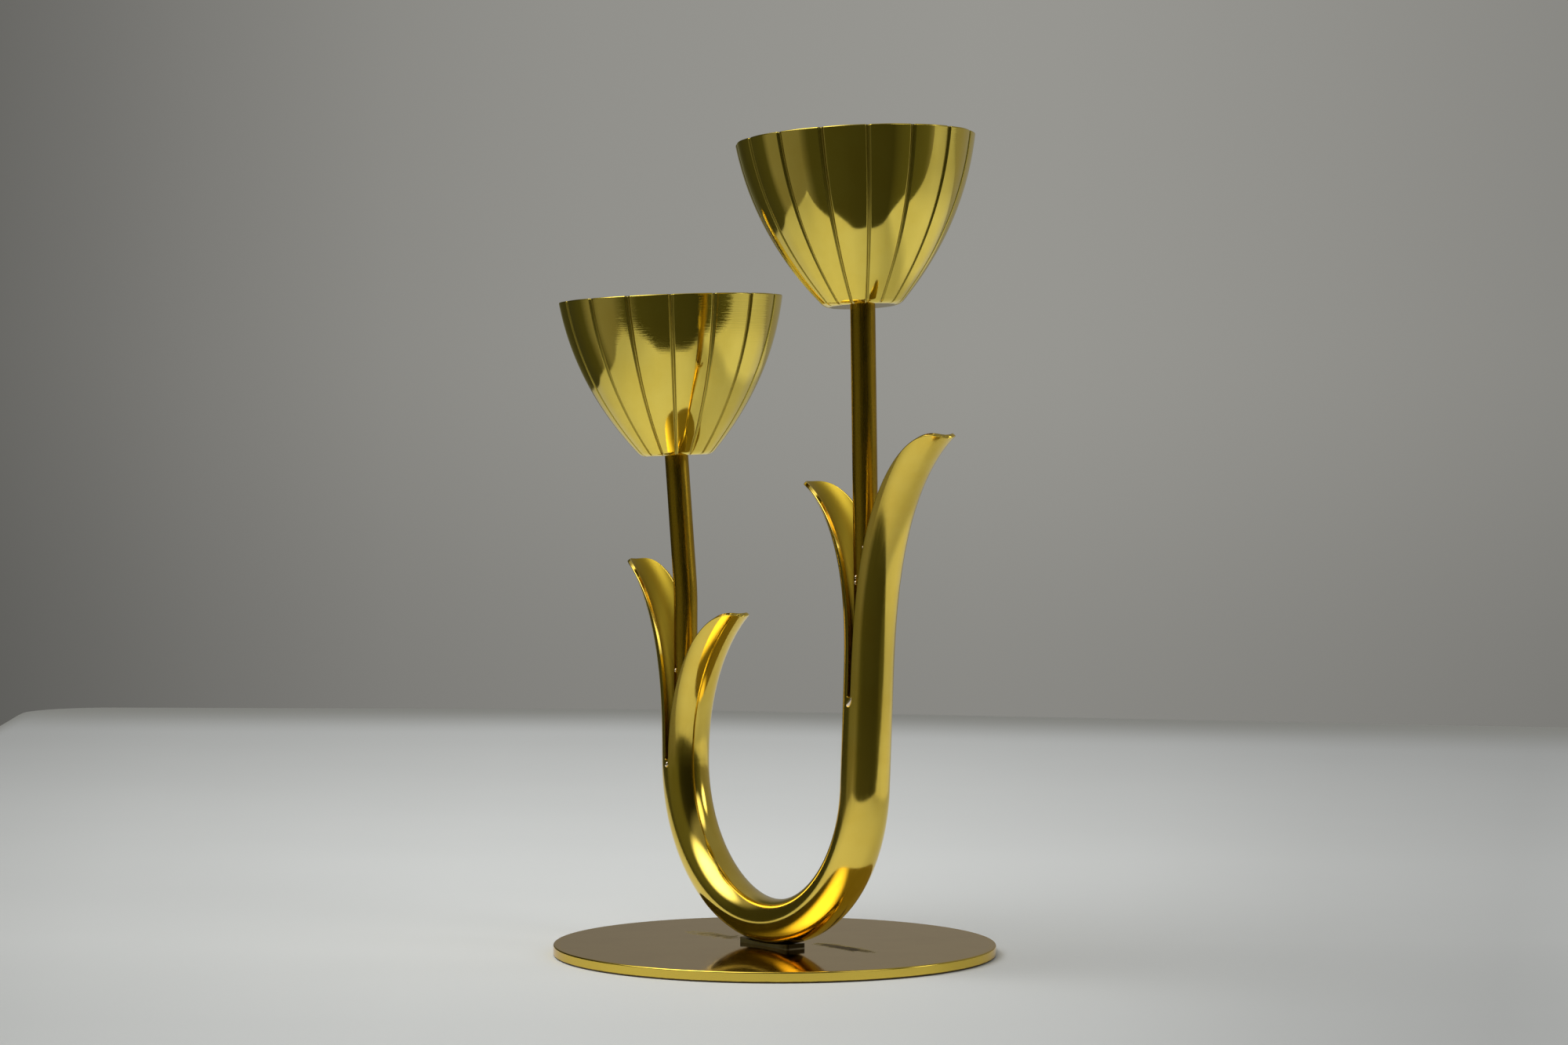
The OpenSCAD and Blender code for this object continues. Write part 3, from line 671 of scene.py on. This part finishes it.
def groove_angles(r, half):
    """Angle of each column, row by row; half is half a groove's width there, and columns lie
    closest together in the grooves"""
    step = 2 * np.pi / GROOVES
    near = GROOVE_REACH * np.linspace(-1, 1, GROOVE_COLUMNS)
    edge = (half / r)[:, None]
    wide = near[-1] * edge
    far = wide + (step - 2 * wide) * np.linspace(0, 1, WALL_COLUMNS + 1)[None, 1:-1]
    one = np.concatenate([near * edge, far], axis=1)
    return np.concatenate([one + step * k for k in range(GROOVES)], axis=1)


def make_cup(side, place, rim_lines, wave):
    points, normals, share = cup_outline(wave)
    up = np.clip(points[:, 1] / CUP_H, 0, 1)
    depth = (GROOVE_DEPTH[0] + (GROOVE_DEPTH[1] - GROOVE_DEPTH[0]) * up) * share
    half = GROOVE_HALF[0] + (GROOVE_HALF[1] - GROOVE_HALF[0]) * up
    half = half * np.where(share < 0, RIDGE_WIDEN, 1.0)
    a = groove_angles(points[:, 0], half)
    step = 2 * np.pi / GROOVES
    off = (a + step / 2) % step - step / 2
    x = np.clip(off * points[:, :1] / half[:, None], -1, 1)
    sink = depth[:, None] * (0.5 + 0.5 * np.cos(np.pi * x))
    slope = -depth[:, None] * 0.5 * np.pi * np.sin(np.pi * x) / half[:, None]
    ring = np.stack([np.cos(a), np.sin(a), 0 * a], axis=-1)
    turn = np.stack([-np.sin(a), np.cos(a), 0 * a], axis=-1)
    at = points[:, None, :1] * ring + UP * points[:, None, 1:]
    way = normals[:, None, :1] * ring + UP * normals[:, None, 1:]
    at = at - sink[..., None] * way
    way = unit(way + slope[..., None] * turn)
    # Between two grooves the wall is a petal of two flat halves
    t = 1 - np.abs(off) / (step / 2)
    deep = PETAL_SLOPE * step / 2 * points[:, :1] * np.clip(points[:, 1:] / PETAL_FOOT, 0, 1)
    full = math.hypot(1, PETAL_ROUND) - PETAL_ROUND
    dip = (np.hypot(t, PETAL_ROUND) - PETAL_ROUND) / full - PETAL_LIFT * np.sin(np.pi * up)[:, None]
    at = at - (deep * dip)[..., None] * ring
    tip = deep * t / np.hypot(t, PETAL_ROUND) / full * np.sign(off) / (points[:, :1] * step / 2)
    way = unit(way - (tip[..., None] * (way * ring).sum(axis=-1, keepdims=True)) * turn)
    tarnish_and_rim_shade = np.clip((1 - np.abs(x)) / TARNISH_FADE, 0, 1) * (1 - WORN * np.exp(-(x / WORN_HALF) ** 2))
    tarnish_and_rim_shade = tarnish_and_rim_shade * np.clip(GROOVE_TARNISH * share, 0.0, 1.0)[:, None]
    # The rim's dulling is painted shade over the lamp's highlight
    tarnish_and_rim_shade = np.maximum(tarnish_and_rim_shade, RIM_SHADE * (points[:, 1] > CUP_H - RIM_ROUND)[:, None])
    near_rim = np.clip((up - LINES_FROM) / LINES_GROW, 0, 1) * (share >= RIM_SHARE)
    lines = 1 + (rim_lines - 1) * near_rim[:, None]
    shell = Shell()
    shell.grid(at, way, at, dull=tarnish_and_rim_shade, lines=lines, wrap=True)
    hole = at[[-1, 0]]
    shell.grid(hole, -ring[[-1, 0]], hole, wrap=True)
    shell.build(side + "_flower", side + "_cup", cup_brass, place)


make_cup("left", LEFT_CUP, LEFT_RIM_LINES, LEFT_WAVE)
make_cup("right", RIGHT_CUP, RIGHT_RIM_LINES, RIGHT_WAVE)


# Candle sockets: their lip, and how round their foot and the lip's edges are
SOCKET_LIP, SOCKET_LIP_H, SOCKET_ROUND = 0.8, 1.0, 2.5
UNDER_ROUND, LIP_ROUND, BORE_ROUND = 0.25, 0.35, 0.3


def make_socket(side, place):
    outer, low, high = SOCKET_BORE + SOCKET_WALL, SOCKET_Z, SOCKET_Z + SOCKET_H
    lip, under, floor = outer + SOCKET_LIP, high - SOCKET_LIP_H, low + SOCKET_WALL
    shell = Shell()
    outline = [(SCREW_HOLE, low, 0), (outer, low, SOCKET_ROUND), (outer, under, 0),
               (lip, under, UNDER_ROUND), (lip, high, LIP_ROUND), (SOCKET_BORE, high, BORE_ROUND),
               (SOCKET_BORE, floor, SOCKET_ROUND - SOCKET_WALL), (SCREW_HOLE, floor, 0),
               (SCREW_HOLE, low, 0)]
    for chain in rounded(outline, steps=7):
        lathe(shell, chain, columns=160)
    shell.build(side + "_thimble", side + "_socket", cup_brass, place)


make_socket("left", LEFT_CUP)
make_socket("right", RIGHT_CUP)


# Base plate
# Dark marks on the top, the right one a burnt mark with the tube's painted shadow, the left one a painted
# shadow: where each begins and ends along X and lies along Y, from the foot, its width and strength
HEAT_MARKS_AND_SHADOWS = ((2.0, 28.0, 11.0, 3.2, 0.88), (-38.0, -10.0, 0.0, 4.6, 0.58))
# Below this height the rim is darkened with painted shade, where it meets the table
LOW_EDGE_SHADE = 0.55
BASE_ROWS, BASE_COLUMNS, BASE_FLAT = 65, 288, BASE_R - 1.2
LOW_ROUND, TOP_ROUND = 0.55, 0.35
SINK_R, SINK_Z = 3.8, (0.2, 1.9)


def make_base():
    shell = Shell()
    rim = [(BASE_FLAT, 0, 0), (BASE_R, 0, LOW_ROUND), (BASE_R, BASE_T, TOP_ROUND), (BASE_FLAT, BASE_T, 0)]
    for chain in rounded(rim, steps=8):
        # The rim's bottom edge gets painted shade
        lathe(shell, chain, BASE_COLUMNS, dull=1.0, shade_below=LOW_EDGE_SHADE)
    ring = circle(BASE_COLUMNS)
    foot = np.array([FOOT_X, FOOT_Y, 0])
    for z, hole, sign in ((BASE_T, SCREW_HOLE, 1.0), (0.0, SINK_R, -1.0)):
        t = np.linspace(0, 1, BASE_ROWS)[:, None, None]
        at = (1 - t) * BASE_FLAT * ring + t * (foot + hole * ring) + np.array([0, 0, z])
        # Burnt marks and the tube's shadow, painted on the top
        burn_and_shadow = np.zeros(at.shape[:2])
        for begin, end, aside, wide, strength in HEAT_MARKS_AND_SHADOWS:
            reach = np.sin(np.pi * np.clip((at[..., 0] - FOOT_X - begin) / (end - begin), 0, 1)) ** 0.5
            off = (at[..., 1] - FOOT_Y - aside) / wide
            burn_and_shadow = burn_and_shadow + (sign > 0) * strength * reach * np.exp(-off ** 2)
        shell.grid(at, np.broadcast_to([0, 0, sign], at.shape), at, stain_and_shade=burn_and_shadow, wrap=True)
    sink = [(SCREW_HOLE, BASE_T, 0), (SCREW_HOLE, SINK_Z[1], 0), (SINK_R, SINK_Z[0], 0), (SINK_R, 0, 0)]
    for chain in rounded(sink):
        lathe(shell, chain, BASE_COLUMNS, (FOOT_X, FOOT_Y))
    shell.build("base_plate", "base_disc", base_brass)


make_base()


# Foot saddle
SADDLE_L, SADDLE_W, SADDLE_CORNER = 10.0, 3.0, 0.9
SADDLE_TOP, END_RISE = 3.45, 0.5
# Painted shade on the saddle: where it grows darker along X from the foot, over how far, and its least
# strength
SHADE_FROM, SHADE_OVER, SHADE_LEAST = 5.0, 5.0, 0.15
SADDLE_ROWS, SADDLE_COLUMNS, WALL_ROWS = 61, 17, 5


def shaded_right_end(at):
    """Painted shade: the saddle is a little dark all over and darker towards its right end, which lies in
    shadow
    """
    return np.clip((at[..., 0] - FOOT_X - SHADE_FROM) / SHADE_OVER, SHADE_LEAST, 1)


def make_saddle():
    deep_r, wide_r = TUBE_R - BEND_FLAT, TUBE_R + WIDEN_SHARE * BEND_FLAT

    def under_tube(x, y):
        rise = deep_r * (1 - np.sqrt(np.clip(1 - (y / wide_r) ** 2, 0, 1)))
        ring = BEND_R + deep_r - rise
        return BEND_Z - np.sqrt(ring ** 2 - x ** 2)

    x = SADDLE_L * np.sin(np.linspace(-1, 1, SADDLE_ROWS) * np.pi / 2)
    inset = np.clip((np.abs(x) - (SADDLE_L - SADDLE_CORNER)) / SADDLE_CORNER, 0, 1)
    width = SADDLE_W - SADDLE_CORNER * (1 - np.sqrt(np.maximum(1 - inset ** 2, 0)))
    y = width[:, None] * np.linspace(-1, 1, SADDLE_COLUMNS)
    limit = SADDLE_TOP + END_RISE * (x[:, None] / SADDLE_L) ** 2
    top = np.minimum(under_tube(x[:, None], y), limit)
    at = np.stack([FOOT_X + x[:, None] + 0 * y, FOOT_Y + y, top], axis=-1)
    du, dv = np.gradient(at, axis=0), np.gradient(at, axis=1)
    normal = unit(np.cross(du, dv))
    normal = normal * np.sign(normal[..., 2:])
    shell = Shell()
    shell.grid(at, normal, at, dull=shaded_right_end(at))
    floor = at * [1, 1, 0] + [0, 0, BASE_T]
    shell.grid(floor, np.broadcast_to([0, 0, -1.0], floor.shape), floor)
    edge = np.concatenate([at[:, 0], at[-1, 1:], at[-2::-1, -1], at[0, -2:0:-1]])
    low = edge * [1, 1, 0] + [0, 0, BASE_T]
    following = np.roll(edge, -1, axis=0) - np.roll(edge, 1, axis=0)
    side = unit(np.stack([following[:, 1], -following[:, 0], 0 * following[:, 0]], axis=1))
    wall = np.stack([low + (edge - low) * t for t in np.linspace(0, 1, WALL_ROWS)])
    shell.grid(wall, np.broadcast_to(side, wall.shape), wall, dull=shaded_right_end(wall), wrap=True)
    shell.build("saddle", "foot_saddle", saddle_tin)


make_saddle()


# Solder
DROP_ROWS, DROP_COLUMNS = 21, 28


def drop(shell, at, out, up, wide, high, thick, sharp):
    """A bead that lies on a face: at is its middle, out the way off the face, up the way its point turns"""
    side = np.cross(up, out)
    u = np.linspace(0, np.pi, DROP_ROWS)[:, None]
    v = full_turn(DROP_COLUMNS)[None, :]

    def spot(u, v):
        taper = 1 - sharp * (0.5 + 0.5 * np.cos(u))
        return ((np.sin(u) * np.cos(v) * wide * taper)[..., None] * side
                + (np.cos(u) * high + 0 * v)[..., None] * up
                + (np.sin(u) * np.sin(v) * thick * taper)[..., None] * out)

    place = at + spot(u, v)
    eps = 1e-3
    inner_u = np.clip(u, eps * 2, np.pi - eps * 2)
    du = spot(inner_u + eps, v) - spot(inner_u - eps, v)
    dv = spot(inner_u, v + eps) - spot(inner_u, v - eps)
    normal = unit(np.cross(du, dv))
    normal = normal * np.sign((normal * (place - at)).sum(axis=-1, keepdims=True) + 1e-9)
    shell.grid(place, normal, place, wrap=True)


# Outline of the ring in a leg's mouth
RING = [(2.4, -3.0, 0), (4.8, -3.0, 0.3), (4.8, 0.0, 0.15), (3.9, -0.45, 1.6), (3.05, 0.35, 0.1),
        (2.4, 0.35, 0)]
# A drop at the slit's end: how far below it lies, how deep in the tube, and how far aside for its sway
MOUTH_DROP, DROP_SINK, DROP_ASIDE = 1.05, 0.05, 0.9
# A spot on the stem: how far it stands off, its half width per half height, its thickness and its point
SPOT_OFF, SPOT_WIDE, SPOT_THICK, SPOT_SHARP = 0.03, 0.7, 0.5, 0.3


def make_solder(side, lean, end, toward, bead, spots):
    """A ring in the leg's mouth, a drop of (half width, half height, thickness, point, sway) on each
    end of the slit, and spots on the stem of (height, turn from the camera's side, half height)"""
    sign = -1 if side == "left" else 1
    lean = math.radians(lean)
    axis = np.array([sign * math.sin(lean), 0, math.cos(lean)])
    across = np.array([math.cos(lean), 0, -sign * math.sin(lean)])
    turned = np.stack([across, [0, 1, 0], axis], axis=1)
    shell = Shell()
    for chain in rounded(RING, steps=6):
        lathe(shell, chain, columns=96)
    shell.points = [p @ turned.T + end for p in shell.points]
    shell.normals = [p @ turned.T for p in shell.normals]
    wide, high, thick, sharp, sway = bead
    for face in (-1, 1):
        out = np.array([0, face, 0.0])
        at = end + out * (TUBE_R - DROP_SINK) - axis * MOUTH_DROP + across * sway * DROP_ASIDE
        drop(shell, at, out, unit(axis + sway * across), wide, high, thick, sharp)
    foot = end - [0, 0, STEM_SINK]
    for height, turn, half in spots:
        turn = math.radians(turn)
        out = TO_CAM * math.cos(turn) + RIGHT * math.sin(turn)
        on = foot + (toward - foot) * (height + STEM_SINK) / (toward[2] - foot[2])
        on = on + out * (STEM_R + SPOT_OFF)
        drop(shell, on, out, axis, SPOT_WIDE * half, half, SPOT_THICK, SPOT_SHARP)
    shell.build(side + "_beads", side + "_solder", solder_tin)


make_solder("left", LEFT_LEAN, LEFT_END, LEFT_END + [0, 0, KINK_UP], (0.55, 0.7, 0.6, 0.4, 0.3),
            ((22.8, -53.7, 0.5), (21.0, 126.3, 0.5)))
make_solder("right", RIGHT_LEAN, RIGHT_END, RIGHT_SEAT, (0.72, 1.35, 0.8, 0.62, 0.6),
            ((27.4, -56.0, 0.5), (28.7, -53.0, 0.5), (35.9, -14.0, 0.35), (28.0, 126.3, 0.5)))


# Hidden CAD pieces keep their meshes. The scales of their finish are in 1/m.
TURNED_LINES, TURNED_CLOUD, TURNED_SLOPE = (700.0, 700.0, 5200.0), 420.0, 0.004


def plain_metal(name, light, deep, rough):
    """Turned metal on a CAD piece, from the piece's own coordinates in metres"""
    material, n, shader = new_material(name)
    place = n.add("TexCoord").outputs["Object"]
    lines = n.noise(n.vector("MULTIPLY", place, TURNED_LINES), 1.0)
    shader.inputs["Metallic"].default_value = 1.0
    n.join(n.blend(n.noise(place, TURNED_CLOUD), light + (1,), deep + (1,)), shader.inputs["Base Color"])
    n.join(n.spread(lines, 0.3, 0.7, *rough), shader.inputs["Roughness"])
    n.join(n.bump(lines, TURNED_SLOPE * MM).outputs[0], shader.inputs["Normal"])
    return material


screw_steel = plain_metal("screw_steel", (0.60, 0.59, 0.56), (0.46, 0.45, 0.42), (0.22, 0.38))
spacer_brass = plain_metal("spacer_brass", (0.70, 0.53, 0.14), (0.60, 0.44, 0.10), (0.18, 0.32))
for key, material in (("base_screw", screw_steel), ("cup_screws", screw_steel),
                      ("left_spacer", spacer_brass), ("right_spacer", spacer_brass)):
    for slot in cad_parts[key].material_slots:
        slot.material = material


# Table
def at_side(toward, right, z=0.0):
    """A place given by how far it lies toward the camera and to its right, in mm"""
    return TO_CAM * toward + RIGHT * right + UP * z


# Corners of the table's top, each with its radius
NEAR_LEFT, NEAR_RIGHT = (205.0, -275.0), (180.0, 1600.0)
FAR_RIGHT, FAR_MIDDLE, FAR_LEFT = (-470.0, 1600.0), (-925.0, -60.0), (-932.0, -366.0)
CORNERS = ((NEAR_LEFT, 14.0), (NEAR_RIGHT, 20.0), (FAR_RIGHT, 20.0), (FAR_MIDDLE, 300.0), (FAR_LEFT, 42.0))
TABLE_T, TABLE_ROUND = 34.0, 6.0
# Painted shade: the top fades to dark grey over FAR_FADE mm from its far edges and SIDE_FADE mm from its
# left edge
FAR_FADE, SIDE_FADE = 178.0, 13.0
TABLE_CLOUD, TABLE_GRAIN, TABLE_SLOPE = 5.0, 900.0, 0.2
TABLE_PAINT, FAR_SHADE = (0.905, 0.922, 0.913), (0.27, 0.27, 0.25)
# Painted pool of light on the top: how bright its paint is by its place across, in units of the pool's
# width, and towards the camera in mm
POOL_SIDE = ((0.0, 1.0), (0.3, 0.99), (0.55, 0.945), (0.9, 0.86), (1.22, 0.735), (1.58, 0.64), (1.72, 0.66),
             (2.0, 0.98), (2.8, 0.98), (4.0, 0.72), (6.0, 0.60))
POOL_MIDDLE, POOL_WIDTH, POOL_SPREAD = -45.0, 144.0, 0.13
POOL_AHEAD = ((-950.0, 0.62), (-700.0, 0.69), (-500.0, 0.81), (-220.0, 0.96), (-30.0, 1.0), (120.0, 0.89),
              (200.0, 0.88))
# Steps round a corner of the top and over its edge, and a place on the table
CORNER_STEPS, ROUND_STEPS, ON_TABLE = 12, 6, (-200.0, 400.0)


def table_outline():
    outline = []
    for k, (corner, r) in enumerate(CORNERS):
        corner = np.array(corner)
        back = unit(np.array(CORNERS[k - 1][0]) - corner)
        on = unit(np.array(CORNERS[(k + 1) % len(CORNERS)][0]) - corner)
        half = math.acos(back @ on) / 2
        middle = corner + unit(back + on) * r / math.sin(half)
        start = corner + back * r / math.tan(half) - middle
        end = corner + on * r / math.tan(half) - middle
        first = math.atan2(start[1], start[0])
        sweep = (math.atan2(end[1], end[0]) - first + np.pi) % (2 * np.pi) - np.pi
        for turn in first + sweep * np.linspace(0, 1, CORNER_STEPS + 1):
            outline.append(middle + r * np.array([math.cos(turn), math.sin(turn)]))
    return np.array(outline)


def inward(a, b):
    """The line from corner a to corner b as a direction into the table and its place, in metres"""
    a, b = at_side(*a) * MM, at_side(*b) * MM
    way = unit(np.cross(UP, b - a))
    way = way * np.sign((at_side(*ON_TABLE) * MM - a) @ way)
    return way, float(a @ way)


def table_paint_and_light_pool():
    material, n, shader = new_material("table_paint_and_light_pool")
    place = n.add("TexCoord").outputs["Object"]

    def shade(value, stops):
        low, high = stops[0][0], stops[-1][0]
        share = n.spread(value, low * MM, high * MM, 0.0, 1.0, smooth=False)
        return n.ramp(share, [((where - low) / (high - low), (grey,) * 3) for where, grey in stops])

    def from_edge(a, b):
        way, at = inward(a, b)
        return n.math("SUBTRACT", n.dot(place, way), at)

    ahead, across = n.dot(place, TO_CAM), n.dot(place, RIGHT)
    wide = n.math("SUBTRACT", POOL_WIDTH * MM, n.math("MULTIPLY", ahead, POOL_SPREAD))
    off = n.math("ABSOLUTE", n.math("SUBTRACT", across, POOL_MIDDLE * MM))
    side = shade(n.math("MULTIPLY", n.math("DIVIDE", off, wide), MM), POOL_SIDE)
    # Painted light: a pool of light in the top's paint
    painted_pool = n.math("MULTIPLY", side, shade(ahead, POOL_AHEAD))
    cloud = n.spread(n.noise(place, TABLE_CLOUD), 0.3, 0.7, 0.98, 1.0)
    paint_and_pool = n.vector("SCALE", TABLE_PAINT, n.math("MULTIPLY", painted_pool, cloud), into="Scale")
    # Painted shade towards the far and left edges
    far = n.math("MINIMUM", from_edge(FAR_RIGHT, FAR_MIDDLE), from_edge(FAR_MIDDLE, FAR_LEFT))
    far = n.spread(far, 0.0, FAR_FADE * MM, 0.0, 1.0)
    left = n.spread(from_edge(FAR_LEFT, NEAR_LEFT), 0.0, SIDE_FADE * MM, 0.0, 1.0)
    colour = n.blend(n.math("MULTIPLY", far, left), FAR_SHADE + (1,), paint_and_pool)
    n.join(colour, shader.inputs["Base Color"])
    shader.inputs["Roughness"].default_value = 0.62
    grain = n.bump(n.noise(place, TABLE_GRAIN, 2.0), TABLE_SLOPE * MM, 0.25)
    n.join(grain.outputs[0], shader.inputs["Normal"])
    return material


def make_table():
    outline = table_outline()
    following = np.roll(outline, -1, axis=0) - np.roll(outline, 1, axis=0)
    out = unit(np.stack([following[:, 1], -following[:, 0]], axis=1))
    out = out * np.sign((out * (outline - outline.mean(axis=0))).sum())
    turns = np.linspace(0, np.pi / 2, ROUND_STEPS + 1)
    rows = [(TABLE_ROUND * (math.sin(a) - 1), TABLE_ROUND * (math.cos(a) - 1)) for a in turns]
    rows.append((0.0, -TABLE_T))
    work = bmesh.new()
    rings = [[work.verts.new(at_side(*p, z) * MM) for p in outline + out * inset] for inset, z in rows]
    for upper, lower in zip(rings[:-1], rings[1:]):
        for j in range(len(upper)):
            work.faces.new((upper[j - 1], upper[j], lower[j], lower[j - 1]))
    work.faces.new(rings[0])
    work.faces.new(rings[-1])
    bmesh.ops.recalc_face_normals(work, faces=work.faces)
    mesh = bpy.data.meshes.new("table")
    work.to_mesh(mesh)
    work.free()
    mesh.materials.append(table_paint_and_light_pool())
    table = bpy.data.objects.new("table", mesh)
    bpy.context.collection.objects.link(table)


make_table()


# Light
# Soft lamps far off: direction from the camera's side to the right, and up, in degrees, half the angle
# that each fills, and its radiance. A lamp fades out from its middle, a little past that angle.
LAMPS = ((-70, 58, 29, 3.45), (52, 36, 15, 1.8), (86, 21, 10, 3.0))
LAMP_RIM = 1.17

# The room: its glow by direction, as (degrees from the camera's side to the right, radiance), at the level
# of the candle holder, above, below, and as the camera sees it behind the table
BAND = ((-180, 0.26), (-172, 0.20), (-165, 0.10), (-150, 0.035), (-104, 0.04), (-88, 0.10), (-48, 0.105),
        (-38, 0.085), (-29, 0.030), (-12, 0.018), (24, 0.014), (40, 0.018), (54, 0.055), (70, 0.10),
        (80, 0.18), (130, 0.25), (180, 0.26))
HIGH = ((-180, 0.27), (-130, 0.34), (-90, 0.42), (-50, 0.36), (0, 0.24), (60, 0.22), (130, 0.24),
        (180, 0.27))
LOW = ((-180, 0.16), (-150, 0.06), (-138, 0.04), (-102, 0.06), (-90, 0.19), (-58, 0.17), (-42, 0.055),
       (40, 0.038), (54, 0.07), (70, 0.09), (84, 0.20), (110, 0.26), (150, 0.26), (180, 0.16))
WALL = ((-180, 0.300), (-176.6, 0.283), (-174.3, 0.255), (-171, 0.190), (-169, 0.142), (-150, 0.14),
        (0, 0.22), (150, 0.25), (169, 0.254), (171, 0.275), (174.3, 0.301), (176.6, 0.314), (180, 0.300))
# Rise, as a sine, over which one level turns into the next, and over which the wall is darker at its foot
TO_HIGH, TO_LOW, WALL_FOOT, WALL_FOOT_SHARE = (0.50, 0.75), (-0.17, -0.02), (-0.075, 0.035), 0.80
# The walls are a warm grey, and the room is more yellow where it is dim
WALL_TINT, DIM_TINT, DIM = (1.0, 0.985, 0.915), (1.0, 1.02, 0.52), 0.15


def make_world():
    world = bpy.data.worlds.new("room")
    bpy.context.scene.world = world
    world.use_nodes = True
    n = Nodes(world.node_tree)
    way = n.add("TexCoord").outputs["Generated"]

    angle = n.math("ARCTAN2", n.dot(way, RIGHT), n.dot(way, TO_CAM))
    turn = n.math("ADD", n.math("DIVIDE", angle, 2 * math.pi), 0.5)
    rise = n.dot(way, UP)

    def around(stops, tint=(1.0, 1.0, 1.0), dim_tint=None):
        """Glow by direction, with its tint, and another where it is dim"""
        places = [degrees / 360 + 0.5 for degrees, glow in stops]
        tints = [dim_tint if dim_tint and glow < DIM else tint for degrees, glow in stops]
        colours = [tuple(glow * share for share in shown) for (degrees, glow), shown in zip(stops, tints)]
        return n.ramp(turn, list(zip(places, colours)))

    glow = n.blend(n.spread(rise, *TO_HIGH, 0.0, 1.0), around(BAND, WALL_TINT, DIM_TINT), around(HIGH))
    glow = n.blend(n.spread(rise, *TO_LOW, 1.0, 0.0), glow, around(LOW, WALL_TINT, DIM_TINT))
    for *angles, light in LAMPS:
        turned, lifted, reach = [math.radians(angle) for angle in angles]
        level = TO_CAM * math.cos(turned) + RIGHT * math.sin(turned)
        aim = level * math.cos(lifted) + UP * math.sin(lifted)
        patch = n.spread(n.dot(way, aim), math.cos(reach * LAMP_RIM), 1.0, 0.0, light)
        glow = n.vector("ADD", glow, patch)
    foot = n.spread(rise, *WALL_FOOT, WALL_FOOT_SHARE, 1.0)
    wall = n.vector("SCALE", around(WALL, WALL_TINT), foot, into="Scale")
    seen = n.add("LightPath").outputs["Is Camera Ray"]
    background = n.add("Background")
    n.join(n.blend(seen, glow, wall), background.inputs["Color"])
    n.join(background.outputs[0], n.add("OutputWorld").inputs["Surface"])


make_world()

bpy.context.scene.view_settings.view_transform = "Standard"
